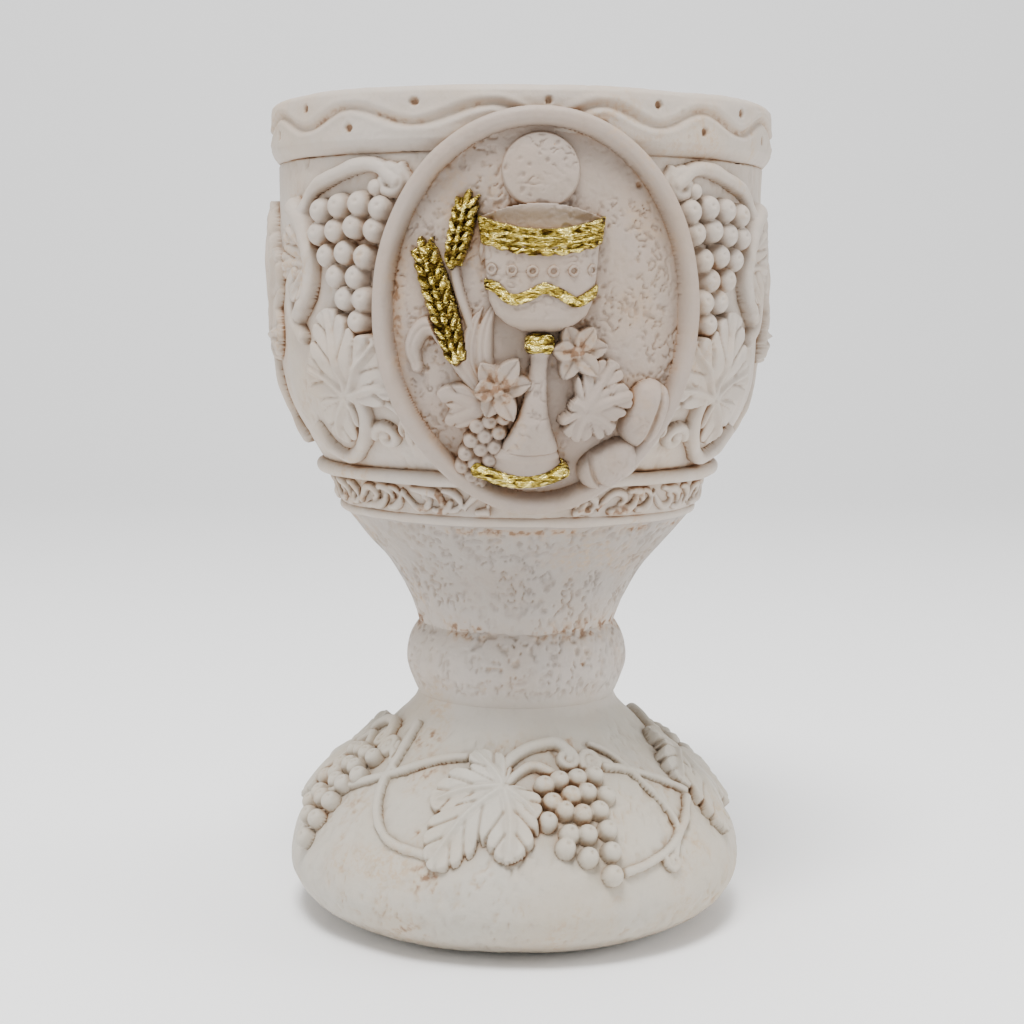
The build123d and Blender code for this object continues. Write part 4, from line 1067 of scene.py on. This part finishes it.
def build_foot_relief():
    """Vine, grapes and leaf on the foot, in four sets with linking stems."""
    patch = Patch(FOOT, -36, 34, 13.5, 38.2, 0.2)
    berries = [(5.8, 29.7), (11.2, 30.3), (17.7, 30.4), (24.3, 30.5), (7.4, 27.3), (13.9, 28.1),
               (19.4, 28.3), (25.3, 27.6), (5.2, 24.7),
               (10.6, 26.1), (15.7, 25.5), (21.1, 25.7), (10.7, 22.8), (15.6, 22.6), (21.6, 22.9), (9.1,
                   20.9),
               (14.6, 19.4), (20.9, 19.8), (20, 16.4)]
    grapes = top(*[patch.ball(a, b, 1.78, 0.8, 0.6) for a, b in berries])
    arch = top(
        patch.rope([(-9.4, 31), (-6.6, 33.2), (-1, 34.8), (8.6, 35.8), (15, 35.6), (18.5, 34)], 1.0, 0.5),
        patch.curl(16.4, 33.4, 1.9, 1.3, 60, 0.7, -1, 0.6),
        patch.curl(26, 32.6, 2.0, 1.4, 200, 0.7, -1, 0.6),
        patch.rope([(-7, 30), (-3.6, 31.4), (3, 32.6), (8.8, 31.6)], 0.9, 0.5),
        patch.rope([(24, 31.6), (29, 32.6), (34, 31.8)], 0.85, 0.4),
    )
    blade, _ = leaf(patch, (-7.6, 29.4), [(-24.6, 17.2, 5.0), (-30, 26.4, 4.6), (-20.5, 34.2, 3.2),
        (-5.4, 18.8, 4.4), (2.4, 24.8, 3.0)],
                    1.9, 0.16, 0.6, 13, 4.2)
    wide = Patch(FOOT, -78, 84, 13.5, 38.2, 0.24)
    forked = top(
        wide.rope([(31, 31.8), (37, 31.2), (50.5, 28.6), (60, 25.6)], 0.8, 0.3),
        wide.rope([(58, 24.6), (50, 22), (40, 19), (31, 17.4), (24, 16.6)], 0.8, 0.3),
        wide.rope([(30, 35.2), (38, 33), (44, 27.6), (46, 22), (40, 17.6)], 0.65, 0.25),
        wide.curl(38.6, 16.8, 1.7, 1.2, 150, 0.6, 1, 0.4),
    )
    crossed = top(
        wide.rope([(-24, 33.6), (-36, 32.6), (-48, 30.2), (-60, 27.6), (-74, 24)], 0.85, 0.3),
        wide.rope([(-58, 37), (-55, 33), (-52, 28), (-46, 23.6), (-38, 20.4), (-27, 19.4)], 0.85, 0.3),
        wide.rope([(-50, 29.8), (-56, 31), (-60, 33.6)], 0.7, 0.25),
    )
    for n in range(4):
        put = (((90 * n), False),)
        patch.piece(f"foot_grapes_{n + 1}", grapes, FOOT_RESIN, "foot_resin", [[f"foot_grapes_{n + 1}"]],
            put)
        patch.piece(f"foot_leaf_{n + 1}", blade, FOOT_RESIN, "foot_resin", [[f"foot_leaf_{n + 1}"]], put)
        patch.piece(f"foot_arch_{n + 1}", arch, FOOT_RESIN, "foot_resin", None, put)
    for n, (h, az) in enumerate(((forked, 0), (crossed, 180), (forked, 180), (crossed, 0))):
        wide.piece(f"foot_vine_{n + 1}", h, FOOT_RESIN, "foot_resin", [[f"foot_vine_{n + 1}"]],
            ((az, False),))


def build_frieze():
    """Running leafy scrolls between the two cords."""
    patch = Patch(FRIEZE, 0, 359.8, NECK_TOP + 2.1, FRIEZE_TOP - 0.1, 0.22)
    count = 18
    u = (patch.az / 360 * count) % 1 - 0.5
    x = u * 2 * pi * 34 / count
    y = (patch.p[..., 2] - 80.8) * (np.floor(patch.az / 360 * count) % 2 * 2 - 1)
    h = np.full(x.shape, -9.0)
    strokes = (([(-6, -1.4), (-4.6, 0.2), (-3, 1.5), (-1.2, 1.3), (-0.5, 0.1), (-1.4, -0.6)], 0.62),
               ([(-3.4, -1.9), (-2, -1.7), (-0.2, -1.6), (1.4, -0.8), (2, 0.4)], 0.72),
               ([(0.4, 1.7), (1.4, 1.9), (2.8, 1.4), (3.6, 0.2)], 0.66),
               ([(2.6, -1.8), (4, -1.6), (5.2, -0.6), (6, 0.8)], 0.7),
               ([(3.4, 1.9), (4.6, 1.5), (5.4, 0.8)], 0.5))
    for line, r in strokes:
        d, t = line_gap(x, y, line)
        h = np.maximum(h, dome(d, r * (0.55 + 0.5 * np.sin(pi * np.clip(t, 0.1,
            0.9)) + 0.3 * noise(patch.p, 1.6, 33)), 0.15))
    mid = np.abs(np.where(patch.az > 180, patch.az - 360, patch.az)) > 12
    stain = step(noise(patch.p, 4.5, 34), 0.45, 0.65) * step(noise(patch.p, 0.8, 35), 0.4, 0.6) * 0.8
    patch.piece("frieze_scrolls", h, CUP_RESIN, "cup_resin", [["frieze_scrolls"]], keep=mid, stain=stain)


build_turned()
build_medallion()
build_bowl_relief()
build_foot_relief()
build_frieze()


# ---- floor, light and camera ----
def plain(name, color, rough):
    """Plain stage material, one colour and one roughness."""
    material = bpy.data.materials.new(name)
    material.use_nodes = True
    shader = material.node_tree.nodes["Principled BSDF"]
    shader.inputs["Base Color"].default_value = (*color, 1)
    shader.inputs["Roughness"].default_value = rough
    return material


def build_stage():
    """Pale floor that curves up behind."""
    half, depth, rise = 2.0, 1.2, 1.5
    line = [(-half, 0.0), (depth * 0.6, 0.0)]
    line += [(depth * 0.6 + 0.4 * sin(radians(a)), 0.4 - 0.4 * cos(radians(a))) for a in range(10, 91, 10)]
    line.append((depth * 0.6 + 0.4, rise))
    points = [(x, y, z) for y, z in line for x in (-half, half)]
    faces = [(2 * i, 2 * i + 1, 2 * i + 3, 2 * i + 2) for i in range(len(line) - 1)]
    mesh = bpy.data.meshes.new("floor")
    mesh.from_pydata(points, [], faces)
    mesh.polygons.foreach_set("use_smooth", [True] * len(mesh.polygons))
    floor = bpy.data.objects.new("floor", mesh)
    mesh.materials.append(plain("floor_paper", (0.93, 0.93, 0.93), 0.8))
    bpy.context.scene.collection.objects.link(floor)


def add_light(name, at, size, power, aim=(0, 0, 0.08), color=(1, 1, 1)):
    """Soft square light."""
    data = bpy.data.lights.new(name, "AREA")
    data.energy, data.size, data.color = power, size, color
    lamp = bpy.data.objects.new(name, data)
    bpy.context.scene.collection.objects.link(lamp)
    lamp.matrix_world = look(at, aim)


def look(at, aim, roll=0.0):
    """Matrix at a place, facing another."""
    way = Vector(aim) - Vector(at)
    turn = way.to_track_quat("-Z", "Y").to_matrix().to_4x4()
    return Matrix.Translation(at) @ turn @ Matrix.Rotation(radians(roll), 4, "Z")


def build_camera():
    """Camera at the viewing angle, slightly above and turned a little to the left."""
    azimuth, distance, height, pitch = -4.0, 0.3587, 0.1162, 6.5
    data = bpy.data.cameras.new("camera")
    data.lens, data.sensor_width = 67.13, 36
    data.clip_start = 0.01
    camera = bpy.data.objects.new("camera", data)
    bpy.context.scene.collection.objects.link(camera)
    at = (distance * sin(radians(azimuth)), -distance * cos(radians(azimuth)), height)
    turn = Matrix.Rotation(radians(azimuth), 4, "Z") @ Matrix.Rotation(radians(90 - pitch), 4, "X")
    camera.matrix_world = Matrix.Translation(at) @ turn @ Matrix.Rotation(radians(0.54), 4, "Z")
    data.shift_x = -0.00546875
    bpy.context.scene.camera = camera


build_stage()
build_camera()
add_light("key", (-0.12, -0.38, 0.92), 0.3, 12.5)
add_light("fill", (0.9, -0.2, 0.35), 0.5, 5.2)
add_light("left_side", (-0.9, -0.15, 0.3), 0.5, 3.0)
add_light("overhead", (0.05, 0.1, 1.0), 0.6, 5.5)
world = bpy.data.worlds.new("studio")
bpy.context.scene.world = world
world.use_nodes = True
world.node_tree.nodes["Background"].inputs["Color"].default_value = (1, 1, 1, 1)
world.node_tree.nodes["Background"].inputs["Strength"].default_value = 0.58
